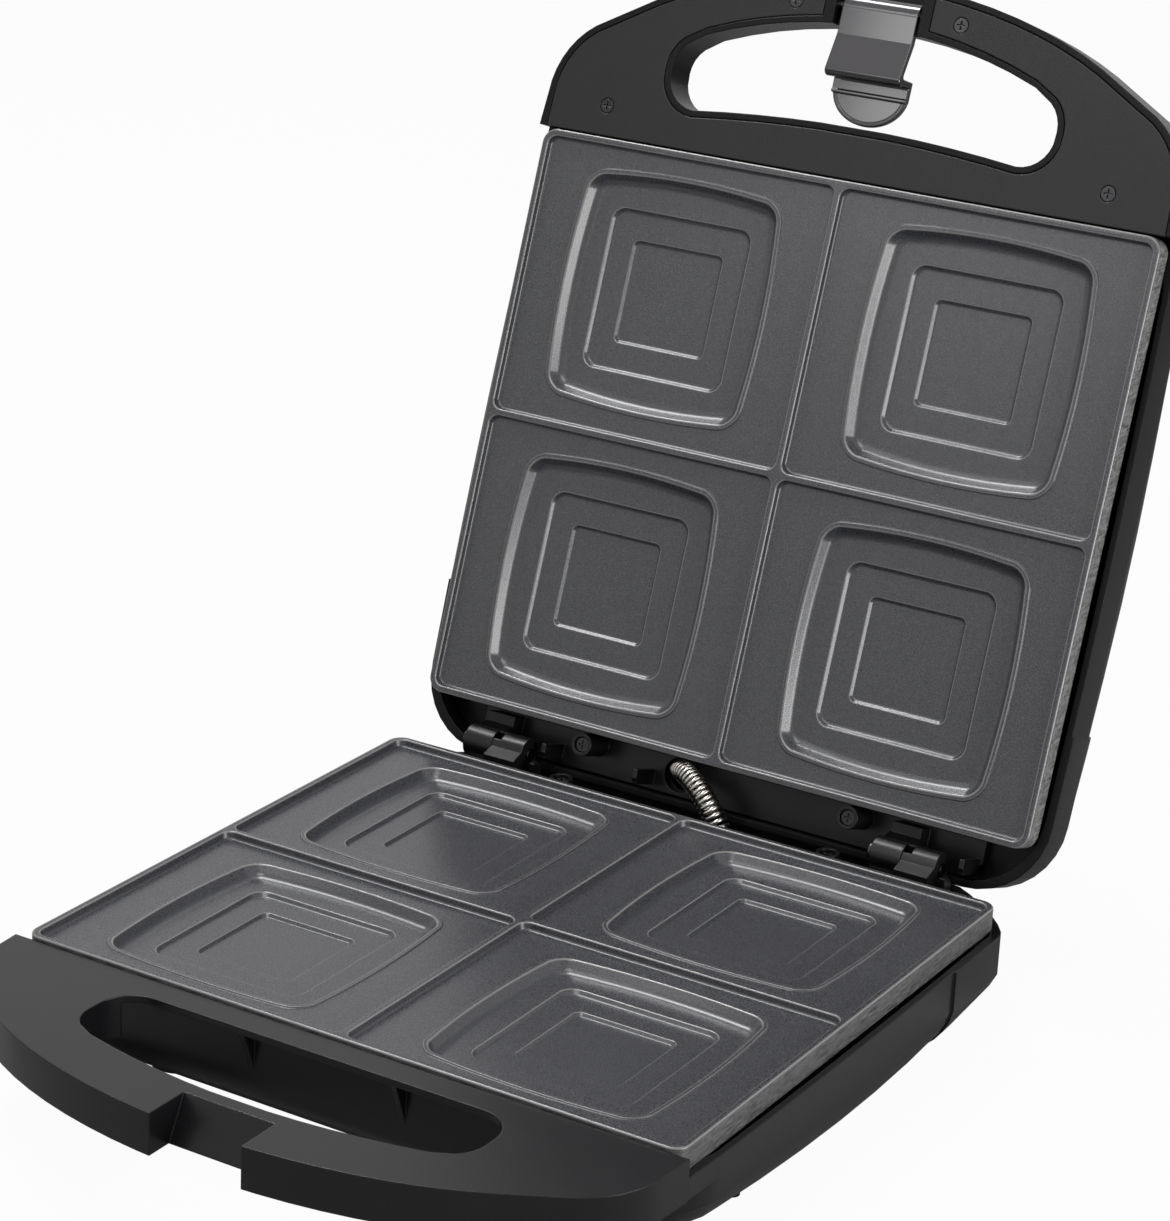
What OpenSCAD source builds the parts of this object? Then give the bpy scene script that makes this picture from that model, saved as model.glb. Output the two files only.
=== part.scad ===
// Sandwich toaster: two heated halves joined by a rear hinge, with a swinging latch.
// Millimetres, +Z up. The plates meet in the mating plane. Every module below is written
// with its origin at the plates' centre in that plane, and stand() then sets it on its feet.
// The lid's modules are written closed, and open_lid() turns them about the hinge.

/* [Cooking plates] */
// Width of each cooking plate
plate_w = 264; // [250:1:276]
// Depth of each cooking plate, front to back
plate_d = 228.4; // [220:0.2:234]
// Corner radius of the plates
plate_corner_r = 6; // [3:0.5:10]
// Height of a plate's outer skirt
skirt_h = 9; // [7:0.5:10]
// Wall thickness of the castings
plate_t = 2.5; // [2:0.1:3]
// Width of the raised rim round each plate
rim_w = 2.6; // [2:0.1:4]
// Width of the raised cross between the four quarters
ridge_w = 2.4; // [1.6:0.1:4]
// Depth of a quarter's floor below the rim
floor_drop = 3; // [2:0.1:3.4]
// Width of a sandwich recess, over its bead
recess_w = 92.4; // [86:0.2:96]
// Depth of a sandwich recess, front to back, over its bead
recess_d = 94.6; // [88:0.2:98]
// How far the recess's sides bow outward
recess_bow = 2.8; // [0:0.2:4]
// Corner radius of the recess, over its bead
recess_corner_r = 8; // [6:0.5:12]
// Depth of the first recess below the quarter's floor
recess_drop = 3.6; // [2.5:0.1:4]
// Slope of the recess wall, measured across it
recess_draft = 3; // [1:0.2:4]
// Width of the bead round the recess
bead_w = 1.8; // [1:0.1:3]
// Height of the bead round the recess
bead_h = 0.6; // [0.3:0.1:1]
// Width of the middle step of the recess, at its foot
step_w = 60; // [54:1:64]
// Drop of the middle step
step_drop = 1.5; // [1:0.1:2]
// Width of the centre step of the recess, at its foot
core_w = 38; // [30:1:44]
// Drop of the centre step
core_drop = 1.2; // [0.8:0.1:1.8]
// Slope of the steps' walls, measured across them
step_draft = 1.2; // [0.4:0.1:2]

/* [Housings] */
// Height from the floor to the plane where the plates meet
stand_h = 52; // [50:0.5:58]
// Wall thickness of the plastic housings
wall = 2.5; // [2:0.1:3]
// Gap from each plate's side to the inside of the housing
plate_gap = 2.5; // [2:0.1:3.5]
// Depth of the housings' rims below the mating plane at the sides
rim_drop = 8.5; // [8:0.1:9.5]
// Depth below the mating plane at which the sides start to round under
side_drop = 24; // [22:0.5:26]
// Depth of the rounded part under the sides
bowl_drop = 22; // [20:0.5:24]
// How far the rounded part comes in at the sides
bowl_side = 24; // [16:1:28]
// How far the rounded part comes in at the front
bowl_front = 45; // [30:1:50]
// How far the rounded part comes in at the back
bowl_rear = 26; // [16:1:30]
// Where the base splits into housing and bottom cover, as an angle of the bowl
split_angle = 36; // [30:2:42]
// From the plates' front edge to the outside of the bodies' front wall
front_wall_out = 4.8; // [4.6:0.1:6]
// From the plates' rear edge to the outside of the base's rear wall
base_back_out = 26.8; // [26:0.2:30]
// From the plates' rear edge to the outside of the lid's rear wall
lid_back_out = 19.8; // [19.3:0.1:20.3]
// Width of the base's cut rear corners
base_corner_w = 42; // [34:1:46]
// Depth of the base's cut rear corners
base_corner_d = 34; // [28:1:36]
// Radius of the lid's rear corners
lid_corner_r = 30; // [24:1:36]
// Extra thickness of the sides at their hinge end
hinge_end_step = 0.8; // [0.4:0.1:1.2]
// Length of the thicker hinge end of the sides
hinge_end_l = 71; // [62:1:78]

/* [Handles] */
// Reach of both handles in front of the plates
handle_reach = 76.8; // [74:0.2:80]
// Thickness of each handle
handle_t = 15.2; // [14.6:0.1:16]
// Gap from each handle's flat face to the mating plane
deck_drop = 1.3; // [1.2:0.1:2]
// How far the handles' sides have come in where the front curve begins
handle_side_in = 2.5; // [1.5:0.1:4]
// From the side of the handle to the end of the base's grip slot
base_slot_side = 55.5; // [52:0.5:60]
// From the side of the handle to the end of the lid's grip slot
lid_slot_side = 52.5; // [50:0.5:58]
// Depth of the base's grip slot from front to back
base_slot_d = 41.5; // [39:0.5:43]
// Depth of the lid's grip slot from front to back
lid_slot_d = 42.5; // [41:0.5:44]
// Width of the base's handle in front of its grip slot
base_grip_w = 23.5; // [22:0.5:26]
// Width of the lid's handle in front of its grip slot
lid_grip_w = 18; // [17:0.2:20]
// Wall of the collar round the grip slots
collar_t = 2.5; // [2:0.1:3]
// Width of the latch notch in both handles
notch_w = 36; // [35.5:0.5:40]
// Depth of the base's notch at its top, from the handle's front
notch_depth = 18.5; // [17:0.5:19]
// How far the back of the notch slopes forward towards its bottom
notch_slope = 7.7; // [6:0.1:8.5]
// Thickness of the cover on the lid's handle
cover_t = 2.6; // [2.4:0.1:3]
// Gap round the cover on the lid's handle
cover_gap = 0.4; // [0.3:0.05:0.6]

/* [Hinge] */
// Distance of the hinge axis behind the plates' rear edge
hinge_setback = 14.7; // [14.5:0.1:14.9]
// Height of the hinge axis above the mating plane
hinge_z = -0.4; // [-0.6:0.1:0]
// How far the lid opens, in degrees
lid_open = 108.6; // [100:0.1:110]
// Outer radius of the hinge knuckles
knuckle_r = 6.5; // [6:0.1:7]
// Radius of the hinge pins
hinge_pin_r = 2.5; // [2:0.1:3]
// Running clearance of the hinge pins, on the radius
pin_clearance = 0.05; // [0.02:0.01:0.1]
// From the left side to where the left-hand knuckles meet
left_hinge_in = 43.2; // [39:0.2:47]
// From the right side to where the right-hand knuckles meet
right_hinge_in = 50; // [45:0.2:53]
// Width of each lid knuckle
lid_knuckle_w = 12.5; // [11:0.5:14]
// Width of each base knuckle
base_knuckle_w = 14; // [12:0.5:16]
// Gap between neighbouring knuckles
knuckle_gap = 0.4; // [0.3:0.05:0.8]
// Clearance between the open lid and the edge of the base that it leans on
stop_gap = 0.3; // [0.2:0.05:0.6]

/* [Latch] */
// Width of the latch
latch_w = 32; // [28:0.5:33]
// Thickness of the latch plate
latch_t = 2.5; // [2:0.1:2.8]
// Distance of the latch pin behind the handle's front
latch_pin_in = 11; // [10.5:0.1:11.4]
// Height of the latch pin above the mating plane, lid closed
latch_pin_z = 7.7; // [7.5:0.1:8]
// Radius of the latch pin
latch_pin_r = 1.5; // [1.2:0.1:2]
// Outer radius of the latch's barrel
barrel_r = 4.5; // [4.2:0.1:4.8]
// Gap between the latch's hook and the underside of the base handle
hook_gap = 0.3; // [0.2:0.05:0.6]
// How far the hook stands behind the latch pin's axis when it hangs down
hook_reach = 3.8; // [3:0.1:4.2]
// Radius of the finger tab
tab_r = 14; // [11:0.5:15]

/* [Feet and fixings] */
// Radius of the rubber feet
foot_r = 11; // [9:0.5:12]
// Height of the rubber feet
foot_h = 6; // [5:0.5:8]
// From the sides to the front feet's centres
front_foot_side = 45; // [43:1:53]
// From the body's front wall to the front feet's centres
front_foot_in = 41; // [39:1:50]
// From the sides to the rear feet's centres
rear_foot_side = 53; // [51:1:60]
// From the base's rear wall to the rear feet's centres
rear_foot_in = 37; // [35:1:44]
// Radius of the screws' shanks
screw_r = 1.5; // [1.2:0.1:1.7]
// Radius of the screws' heads
head_r = 2.8; // [2.5:0.1:3]
// Radius of the mains cable inlet in the rear wall
inlet_r = 5; // [4:0.1:6]

/* [Heating] */
// Radius of the tubular heating elements
element_r = 3.2; // [2.8:0.1:3.3]
// Thickness of the reflector sheets
reflector_t = 0.8; // [0.5:0.1:1]
// Radius of the conduit spring that carries the wires to the lid
conduit_r = 4.7; // [4:0.1:4.8]

/* [Hidden] */

$fn = 48;
fit = 0.3;                                        // clearance between separate pieces
half_w = plate_w / 2 + plate_gap + wall;          // outside of the bodies' sides
half_d = plate_d / 2;
front_y = -half_d - handle_reach;                 // front of both handles
deck_rear = -half_d - 0.7;                        // back edge of the handles' flat faces
tail_y = -half_d + 24;                            // where the handles' sides end in the bodies
body_front = half_d + front_wall_out;
base_rear = half_d + base_back_out;
lid_rear = half_d + lid_back_out;
hinge_end_y = base_rear - hinge_end_l;
hinge_y = half_d + hinge_setback;
handle_half_w = half_w - handle_side_in;
latch_pin_y = front_y + latch_pin_in;
notch_back = front_y + notch_depth;
handle_low = -deck_drop - handle_t;               // far side of the handles
split_z = -side_drop - bowl_drop * sin(split_angle);
floor_low = -side_drop - bowl_drop;               // far side of the bodies
floor_high = floor_low + wall;                    // inside of that far side
notch_half = notch_w / 2;
cheek_t = 4.4;                                    // walls beside the lid's notch
quarter_x = plate_w / 4;                          // centres of the sandwich recesses
quarter_y = plate_d / 4;
floor_z = -floor_drop;
under_z = floor_z - plate_t;
recess_z = floor_z - recess_drop;
step_z = recess_z - step_drop;
core_z = step_z - core_drop;
element_z = recess_z - plate_t - element_r;       // axis of the element below a plate
element_low = element_z - element_r;
bar_t = 1.6;                                      // thickness of the element's retaining bar
reflector_z = element_low - bar_t - 2.8;          // upper face of the reflector
shelf_z = reflector_z - 0.1;                      // shelf that the hinge rails are screwed to

// Slots: [half width, back edge, front edge, front radius, bow of the back edge, end drop]
base_slot = [handle_half_w - base_slot_side, front_y + base_grip_w + base_slot_d,
    front_y + base_grip_w, 262, 0, 6];
lid_slot = [handle_half_w - lid_slot_side, front_y + lid_grip_w + lid_slot_d,
    front_y + lid_grip_w, 197, 4, 2];
base_corner = [base_corner_w, base_corner_d, 1.3];
lid_corner = [lid_corner_r, lid_corner_r, 2];

// The front curve of the handles is a quarter of an ellipse on each side
curve_y = -half_d - 5.8;
curve_b = curve_y - front_y;
notch_t = asin(notch_half / handle_half_w);
reach_front = curve_b * cos(notch_t) - curve_y;
reach_rear = hinge_y - (reach_front + hinge_y) * cos(lid_open)
    + (-handle_low - hinge_z) * sin(lid_open);
plate_y = (reach_front - reach_rear) / 2;         // puts the origin midway along the part

function arc(c, r, a0, a1, n) = [for (i = [0:n]) let (a = a0 + (a1 - a0) * i / n)
    c + r * [cos(a), sin(a)]];
function both_sides(right) = concat(right,
    [for (i = [len(right) - 1:-1:0]) [-right[i][0], right[i][1]]]);

// Rounded rectangle of half sizes a and b whose sides bow out between its corners
function bowed_outline(a, b, bow, r) =
    let (u = a - bow, v = b - bow)
    [for (q = [0:3], i = [0:10])
        let (e = q % 2 == 0 ? [u - r, v - r] : [v - r, u - r], w = q % 2 == 0 ? v - r : u - r,
             p = i < 7 ? e + r * [cos(15 * i), sin(15 * i)] : [e[0] * (1 - (i - 6) / 2.5), e[1] + r],
             t = 90 * q, x = p[0] * cos(t) - p[1] * sin(t), y = p[0] * sin(t) + p[1] * cos(t))
        [x * (1 + bow / u * (1 - pow(y / v, 2))), y * (1 + bow / v * (1 - pow(x / u, 2)))]];
function rounded_outline(w, d, r) = concat(
    arc([w / 2 - r, d / 2 - r], r, 0, 90, 5), arc([-w / 2 + r, d / 2 - r], r, 90, 180, 5),
    arc([-w / 2 + r, -d / 2 + r], r, 180, 270, 5), arc([w / 2 - r, -d / 2 + r], r, 270, 360, 5));
function at_z(points, z) = [for (p = points) [p[0], p[1], z]];

// ---- placing ----

module stand() { translate([0, plate_y, stand_h]) children(); }

module about_hinge(angle) {
    translate([0, hinge_y, hinge_z]) rotate([angle, 0, 0]) translate([0, -hinge_y, -hinge_z])
        children();
}

// The lid's parts are written closed; upside down where they match the base's
module open_lid() { stand() about_hinge(-lid_open) children(); }
module lid_side() { open_lid() mirror([0, 0, 1]) children(); }

module mirrored_x() { children(); mirror([1, 0, 0]) children(); }

module four_quarters() {
    for (x = [-quarter_x, quarter_x], y = [-quarter_y, quarter_y]) translate([x, y, 0]) children();
}

// ---- shared forms ----

module slab(z0, z1) { translate([0, 0, z0]) linear_extrude(z1 - z0) children(); }

module rounded_rect(w, d, r) {
    polygon(concat(
        arc([w / 2 - r, d / 2 - r], r, 0, 90, 6), arc([-w / 2 + r, d / 2 - r], r, 90, 180, 6),
        arc([-w / 2 + r, -d / 2 + r], r, 180, 270, 6), arc([w / 2 - r, -d / 2 + r], r, 270, 360, 6)));
}

// Closed solid through rings of equal length, the first ring lowest
module skin(rings) {
    n = len(rings[0]);
    last = len(rings) - 1;
    polyhedron(
        points = [for (r = rings) for (p = r) p],
        faces = concat(
            [[for (i = [0:n - 1]) i]],
            [for (k = [0:last - 1]) for (i = [0:n - 1])
                [k * n + i, (k + 1) * n + i, k * n + (i + 1) % n]],
            [for (k = [0:last - 1]) for (i = [0:n - 1])
                [k * n + (i + 1) % n, (k + 1) * n + i, (k + 1) * n + (i + 1) % n]],
            [[for (i = [n - 1:-1:0]) last * n + i]]));
}

function side_x(a, y, inset) =
    half_w - inset - bowl_side * (1 - cos(a)) - (1.4 + 12 * sin(a)) * pow((y - 10) / (half_d + 5.8), 2);

// Outline of a body at the bowl's angle a: 0 is its straight wall, 90 its flat far side
function body_outline(a, rear, corner, inset, step = 0) =
    let (come_in = 1 - cos(a),
         front = -body_front + inset + bowl_front * come_in,
         back = rear - inset - bowl_rear * come_in,
         rf = 24 + 8 * sin(a),
         cw = corner[0] + 6 * sin(a), cd = corner[1] + 4 * sin(a), e = 2 / corner[2],
         xf = side_x(a, front + rf, inset) + step, xr = side_x(a, back - cd, inset) + step)
    both_sides(concat(
        arc([xf - rf, front + rf], rf, -90, 0, 7),
        [for (i = [1:6]) let (y = front + rf + (back - cd - front - rf) * i / 7)
            [side_x(a, y, inset) + step, y]],
        [for (i = [0:8]) let (t = 90 * i / 8)
            [xr - cw + cw * pow(cos(t), e), back - cd + cd * pow(sin(t), e)]]));

// A body's solid between the bowl's angles a0 and a1, run on to top_z and low_z if given
module body_solid(rear, corner, inset, a0, a1, top_z, low_z, step = 0) {
    steps = ceil((a1 - a0) / 12);
    skin(concat(
        low_z == undef ? [] : [at_z(body_outline(a1, rear, corner, inset, step), low_z)],
        [for (i = [steps:-1:0]) let (a = a0 + (a1 - a0) * i / steps)
            at_z(body_outline(a, rear, corner, inset, step), -side_drop - (bowl_drop - inset) * sin(a))],
        top_z == undef ? [] : [at_z(body_outline(a0, rear, corner, inset, step), top_z)]));
}

// The outside of a body with its thicker hinge end
module body_outside(rear, corner, a0, a1, top_z) {
    body_solid(rear, corner, 0, a0, a1, top_z);
    intersection() {
        body_solid(rear, corner, 0, a0, a1, top_z, step = hinge_end_step);
        translate([-200, hinge_end_y, -80]) cube([400, 200, 90]);
    }
}

// Outline of a handle's flat face, from the given back edge forward
module handle_outline(inset, back) {
    polygon(both_sides(concat(
        [for (t = [5:5:45]) [(handle_half_w - inset) * sin(t), curve_y - (curve_b - inset) * cos(t)]],
        arc([handle_half_w - 34.5, curve_y - 8], 34.5 - inset, -56, 0, 7),
        [[side_x(0, back, inset), back]])));
}

// A handle's walls: a solid hollowed between void_low and void_high
module handle_shell(void_low, void_high) {
    difference() {
        union() {
            slab(handle_low, -deck_drop) handle_outline(0, deck_rear);
            slab(handle_low, -rim_drop) handle_outline(0, tail_y);
        }
        slab(void_low, void_high) handle_outline(wall, tail_y + 30);
    }
}

// Outline of a grip slot, grown all round
module slot_outline(slot, grow) {
    end_x = slot[0] - 13;
    end_y = slot[1] - 13;
    a1 = asin((end_x + 1) / slot[3]);
    polygon(both_sides(concat(
        [for (i = [1:6]) let (a = -90 + a1 * i / 6)
            [slot[3] * cos(a), slot[2] - grow + slot[3] * (1 + sin(a))]],
        arc([end_x, end_y - slot[5]], 13 + grow, -50, 0, 4),
        arc([end_x, end_y], 13 + grow, slot[5] > 4 ? 0 : 12, 90, 6),
        [for (i = [4:-1:1]) let (u = i / 5)
            [end_x * u, slot[1] + grow - slot[4] * (1 - u * u)]])));
}

module rod(a, b, r) {
    d = b - a;
    translate(a) rotate([0, acos(d[2] / norm(d)), atan2(d[1], d[0])]) cylinder(r = r, h = norm(d));
}

// Cross-headed screw with its seat at the origin and its shank upward
module screw(length) {
    cylinder(r = screw_r - 0.02, h = length);
    translate([0, 0, -1.6]) difference() {
        cylinder(r = head_r, h = 1.6);
        for (a = [0, 90]) rotate([0, 0, a]) translate([-1.7, -0.3, -1]) cube([3.4, 0.6, 1.8]);
    }
}

// ---- cooking plates ----

function recess_points(grow) = bowed_outline(
    recess_w / 2 + grow, recess_d / 2 + grow, recess_bow, max(1, recess_corner_r + grow));
step_r = 4.5;
core_r = 1.6;

// The hollow of one sandwich recess: a drafted wall, then two drafted steps
module recess_void() {
    skin([
        at_z(recess_points(-bead_w - recess_draft), recess_z),
        at_z(recess_points(-bead_w), floor_z),
        at_z(recess_points(-bead_w), floor_z + bead_h + 1)]);
    drafted_step(step_w, step_w + 1.5, step_r, step_z, recess_z);
    drafted_step(core_w, core_w + 0.6, core_r, core_z, step_z);
}

module drafted_step(w, d, r, z0, z1) {
    run = step_draft * (z1 + 0.2 - z0) / (z1 - z0);
    skin([at_z(rounded_outline(w, d, r), z0),
        at_z(rounded_outline(w + 2 * run, d + 2 * run, r + run), z1 + 0.2)]);
}

// The same hollow's outside below the casting
module recess_underside() {
    side = 2;
    slab(recess_z - plate_t, under_z + 0.1) polygon(recess_points(-bead_w - recess_draft + side));
    slab(step_z - plate_t, recess_z - plate_t + 0.1)
        rounded_rect(step_w + 2 * side, step_w + 1.5 + 2 * side, step_r + side);
    slab(core_z - plate_t, step_z - plate_t + 0.1)
        rounded_rect(core_w + 2 * side, core_w + 0.6 + 2 * side, core_r + side);
}

bar_stud_x = [-quarter_x, 0, quarter_x];
module bar_studs() { for (x = bar_stud_x) translate([x, 0, 0]) children(); }

// Studs for the thermostat on the lid's plate and the fuse clip on the base's
module clip_studs() { for (x = [-13, 13]) translate([x, quarter_y, 0]) children(); }
clip_z = under_z - 2.5;

boss_x = plate_w / 2 - 10;
boss_y = plate_d / 2 - 10;
module plate_corners() {
    for (x = [-boss_x, boss_x], y = [-boss_y, boss_y]) translate([x, y, 0]) children();
}

module cooking_plate() {
    pocket_w = plate_w / 2 - rim_w - ridge_w / 2;
    pocket_d = plate_d / 2 - rim_w - ridge_w / 2;
    difference() {
        union() {
            difference() {
                slab(-skirt_h, 0) rounded_rect(plate_w, plate_d, plate_corner_r);
                slab(-skirt_h - 1, under_z)
                    rounded_rect(plate_w - 2 * plate_t, plate_d - 2 * plate_t, plate_corner_r - plate_t);
                for (x = [-1, 1], y = [-1, 1])
                    translate([x * (pocket_w + ridge_w) / 2, y * (pocket_d + ridge_w) / 2, 0])
                        slab(floor_z, 1) rounded_rect(pocket_w, pocket_d, 4);
            }
            four_quarters() {
                recess_underside();
                slab(floor_z - 0.5, floor_z + bead_h) polygon(recess_points(0));
            }
            bar_studs() slab(element_low, under_z + 0.5) circle(r = 4);
            clip_studs() slab(clip_z, under_z + 0.5) circle(r = 3);
            plate_corners() slab(reflector_z, under_z + 0.5) circle(r = 4.5);
        }
        four_quarters() recess_void();
        bar_studs() slab(element_low - 1, element_low + 6) circle(r = screw_r);
        clip_studs() slab(clip_z - 1, under_z + 1) circle(r = screw_r);
        plate_corners() slab(reflector_z - 1, reflector_z + 10) circle(r = screw_r);
    }
}

// ---- heating parts, written under the base's plate ----

element_out = quarter_x + step_w / 2 + element_r + 2.4;      // outer runs
element_in = quarter_x - step_w / 2 - element_r - 2.4;       // inner runs
element_end = quarter_y + step_w / 2 + element_r + 3;        // cross runs
bend_r = 12;

module bend(c, a0) {
    translate([c[0], c[1], element_z]) rotate([0, 0, a0])
        rotate_extrude(angle = 90) translate([bend_r, 0]) circle(r = element_r, $fn = 24);
}

// One long tube that runs down, across and up under all four quarters
module element() {
    z = element_z;
    e = element_end;
    mirrored_x() {
        rod([element_out, e + 4, z], [element_out, -e + bend_r, z], element_r);
        bend([element_out - bend_r, -e + bend_r], -90);
        rod([element_out - bend_r, -e, z], [element_in + bend_r, -e, z], element_r);
        bend([element_in + bend_r, -e + bend_r], 180);
        rod([element_in, -e + bend_r, z], [element_in, e - bend_r, z], element_r);
        bend([element_in - bend_r, e - bend_r], 0);
        rod([element_out, e + 3.9, z], [element_out, e + 12, z], 1.4);
    }
    rod([element_in - bend_r, e, z], [bend_r - element_in, e, z], element_r);
}

module element_bar() {
    difference() {
        translate([-element_out - 5, -5, element_low - bar_t]) cube([2 * element_out + 10, 10, bar_t]);
        bar_studs() slab(element_low - 5, element_low + 5) circle(r = screw_r + 0.2);
    }
}

clip_t = 0.8;
module inner_screws() {
    bar_studs() translate([0, 0, element_low - bar_t]) screw(6.5);
    clip_studs() translate([0, 0, clip_z - clip_t]) screw(4);
}

module reflector() {
    w = plate_w - 8;
    d = plate_d - 8;
    difference() {
        slab(reflector_z - reflector_t, reflector_z + 7) rounded_rect(w, d, 7);
        slab(reflector_z, reflector_z + 8)
            rounded_rect(w - 2 * reflector_t, d - 2 * reflector_t, 7 - reflector_t);
        plate_corners() slab(reflector_z - 5, reflector_z + 5) circle(r = screw_r + 0.2);
        mirrored_x() translate([element_out - 7, d / 2 - 5, reflector_z + 2]) cube([14, 10, 10]);
    }
}

boss_top = reflector_z - reflector_t;             // housing's boss under the reflector
boss_low = boss_top - 10;

module plate_screws() {
    plate_corners() translate([0, 0, boss_low + 3]) screw(boss_top + 8 - boss_low - 3);
}

// Bosses that the plate's corners are screwed to, with webs to the side walls
module plate_bosses() {
    plate_corners() slab(boss_low, boss_top) circle(r = 5.5);
    mirrored_x() for (y = [-boss_y, boss_y])
        translate([boss_x, y - 1, boss_low]) cube([20, 2, boss_top - boss_low]);
}

module plate_boss_holes() {
    plate_corners() {
        slab(boss_low - 1, boss_top + 1) circle(r = screw_r + 0.2);
        slab(boss_low - 1, boss_low + 3) circle(r = head_r + fit);
    }
}

// ---- hinge, written on the base's side ----

rail_t = 4;
rail_low = shelf_z;
rail_high = shelf_z + rail_t;
rail_front = half_d + 1.8;
rail_screw_x = half_w - 78.3;
rail_screw_y = rail_front + 3.7;
rail_boss_r = 4.5;
rail_boss_z = -1.4;
// Where the conduit leaves each half, and how far the rail's hole is set back for its slant
base_wire = [14, rail_front + 7, 0.8];
lid_wire = [-21, rail_front + 7, -0.3];
joints_x = [left_hinge_in - half_w, half_w - right_hinge_in];

module rail_screw_places() {
    for (x = [-rail_screw_x, rail_screw_x]) translate([x, rail_screw_y, 0]) children();
}

function knuckle_x(joint, lid) = lid ? joint - knuckle_gap / 2 - lid_knuckle_w : joint + knuckle_gap / 2;

// The rails' corners are cut off to clear the housings' rounded ones
module rail_outline(d) {
    x0 = 25 - half_w;
    x1 = half_w - 27;
    translate([0, rail_front]) polygon([[x0, 0], [x1, 0], [x1, d - 6], [x1 - 9, d], [x0 + 9, d], [x0, d - 6]]);
}

// Rail with its knuckles; the web is a profile about the hinge axis
module hinge_rail(lid, web, wire, ribs) {
    z_axis = lid ? -hinge_z : hinge_z;            // the lid's parts are written upside down
    w = lid ? lid_knuckle_w : base_knuckle_w;
    difference() {
        union() {
            slab(rail_low, rail_high) rail_outline(lid ? 15 : 17);
            for (joint = joints_x) translate([knuckle_x(joint, lid), hinge_y, z_axis])
                rotate([90, 0, 90]) linear_extrude(w) union() {
                    circle(r = knuckle_r);
                    polygon(web);
                }
            rail_screw_places() slab(rail_high - 1, rail_boss_z) circle(r = rail_boss_r);
            // ribs that stand up beside the hinges
            for (x = ribs) translate([x, rail_front + 7.2, rail_high - 1])
                cube([2, 5.8, rail_rib_z - rail_high + 1]);
        }
        // window in each base knuckle that shows the pin
        if (!lid) for (joint = joints_x)
            translate([joint, hinge_y - 4, hinge_z + 3]) cube([3.6, 4, knuckle_r]);
        translate([-half_w, hinge_y, z_axis]) rotate([0, 90, 0])
            cylinder(r = hinge_pin_r + pin_clearance, h = 2 * half_w);
        rail_screw_places() {
            slab(rail_low - 1, 0) circle(r = screw_r + 0.2);
            slab(rail_boss_z - 2.6, 0) circle(r = head_r + fit);
        }
        translate([wire[0], wire[1] + wire[2], 0])
            slab(rail_low - 1, rail_high + 1) circle(r = conduit_r + 2.1);
    }
}

base_web_low = rail_high - 0.5 - hinge_z;
lid_web_low = rail_high - 0.5 + hinge_z;
base_web = [[-5.8, 2.6], [-11.4, 0.8], [-11.4, base_web_low], [3, base_web_low], [5.6, -3]];
lid_web = [[5.4, -3.4], [2, -7.6], [2, lid_web_low], [-12, lid_web_low], [-12, -8.4], [-8, -8.4], [-5.9, -2.7]];
rail_rib_z = -1;
base_ribs = [joints_x[0] + 18, joints_x[1] + 16.5];
lid_ribs = [joints_x[0] + 18, joints_x[0] + 60, joints_x[1] + 20];

module rail_screws() {
    rail_screw_places() translate([0, 0, rail_boss_z - 2.6]) mirror([0, 0, 1]) screw(23);
}

// Shelf across the back of a housing, with bosses under the rail's screws
module rail_shelf(rear, wire) {
    difference() {
        union() {
            translate([7 - half_w, half_d - 1.2, shelf_z - 3]) cube([2 * half_w - 14, rear - half_d, 3]);
            rail_screw_places() slab(shelf_z - 10, shelf_z - 2) circle(r = rail_boss_r);
        }
        rail_screw_places() slab(shelf_z - 9, shelf_z + 1) circle(r = screw_r);
        translate([wire[0], wire[1], 0]) slab(shelf_z - 5, shelf_z + 1) circle(r = conduit_r + 3 * fit);
    }
}

module hinge_pins() {
    for (joint = joints_x)
        translate([knuckle_x(joint, true) - 0.8, hinge_y, hinge_z]) rotate([0, 90, 0]) {
            cylinder(r = hinge_pin_r, h = lid_knuckle_w + base_knuckle_w + knuckle_gap + 1.6);
            translate([0, 0, -1.2]) cylinder(r = hinge_pin_r + 1.2, h = 1.2);
        }
}

// Everything behind the handles' flat faces and above the housings' rims, and the plate's corners
module above_rim() {
    translate([-200, deck_rear, -rim_drop]) cube([400, 400, 20]);
    slab(-skirt_h - fit, 0)
        rounded_rect(plate_w + 2 * fit, plate_d + 2 * fit, plate_corner_r + fit);
}

// ---- base ----

// The deep notch that the latch swings into, and the bar behind it that it catches
module base_notch() {
    translate([-notch_half, 0, 0]) rotate([90, 0, 90]) linear_extrude(notch_w)
        polygon([[notch_back, 0], [notch_back, -deck_drop], [notch_back - notch_slope, handle_low],
            [notch_back - notch_slope, handle_low - 1], [front_y - 5, handle_low - 1],
            [front_y - 5, 0]]);
}

module cover_screw_places() {
    mirrored_x() for (y = [57 - body_front, base_rear - 89]) translate([half_w - 14, y, 0]) children();
}

module foot_places() {
    mirrored_x() {
        translate([half_w - front_foot_side, front_foot_in - body_front, 0]) children();
        translate([half_w - rear_foot_side, base_rear - rear_foot_in, 0]) children();
    }
}

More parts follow.
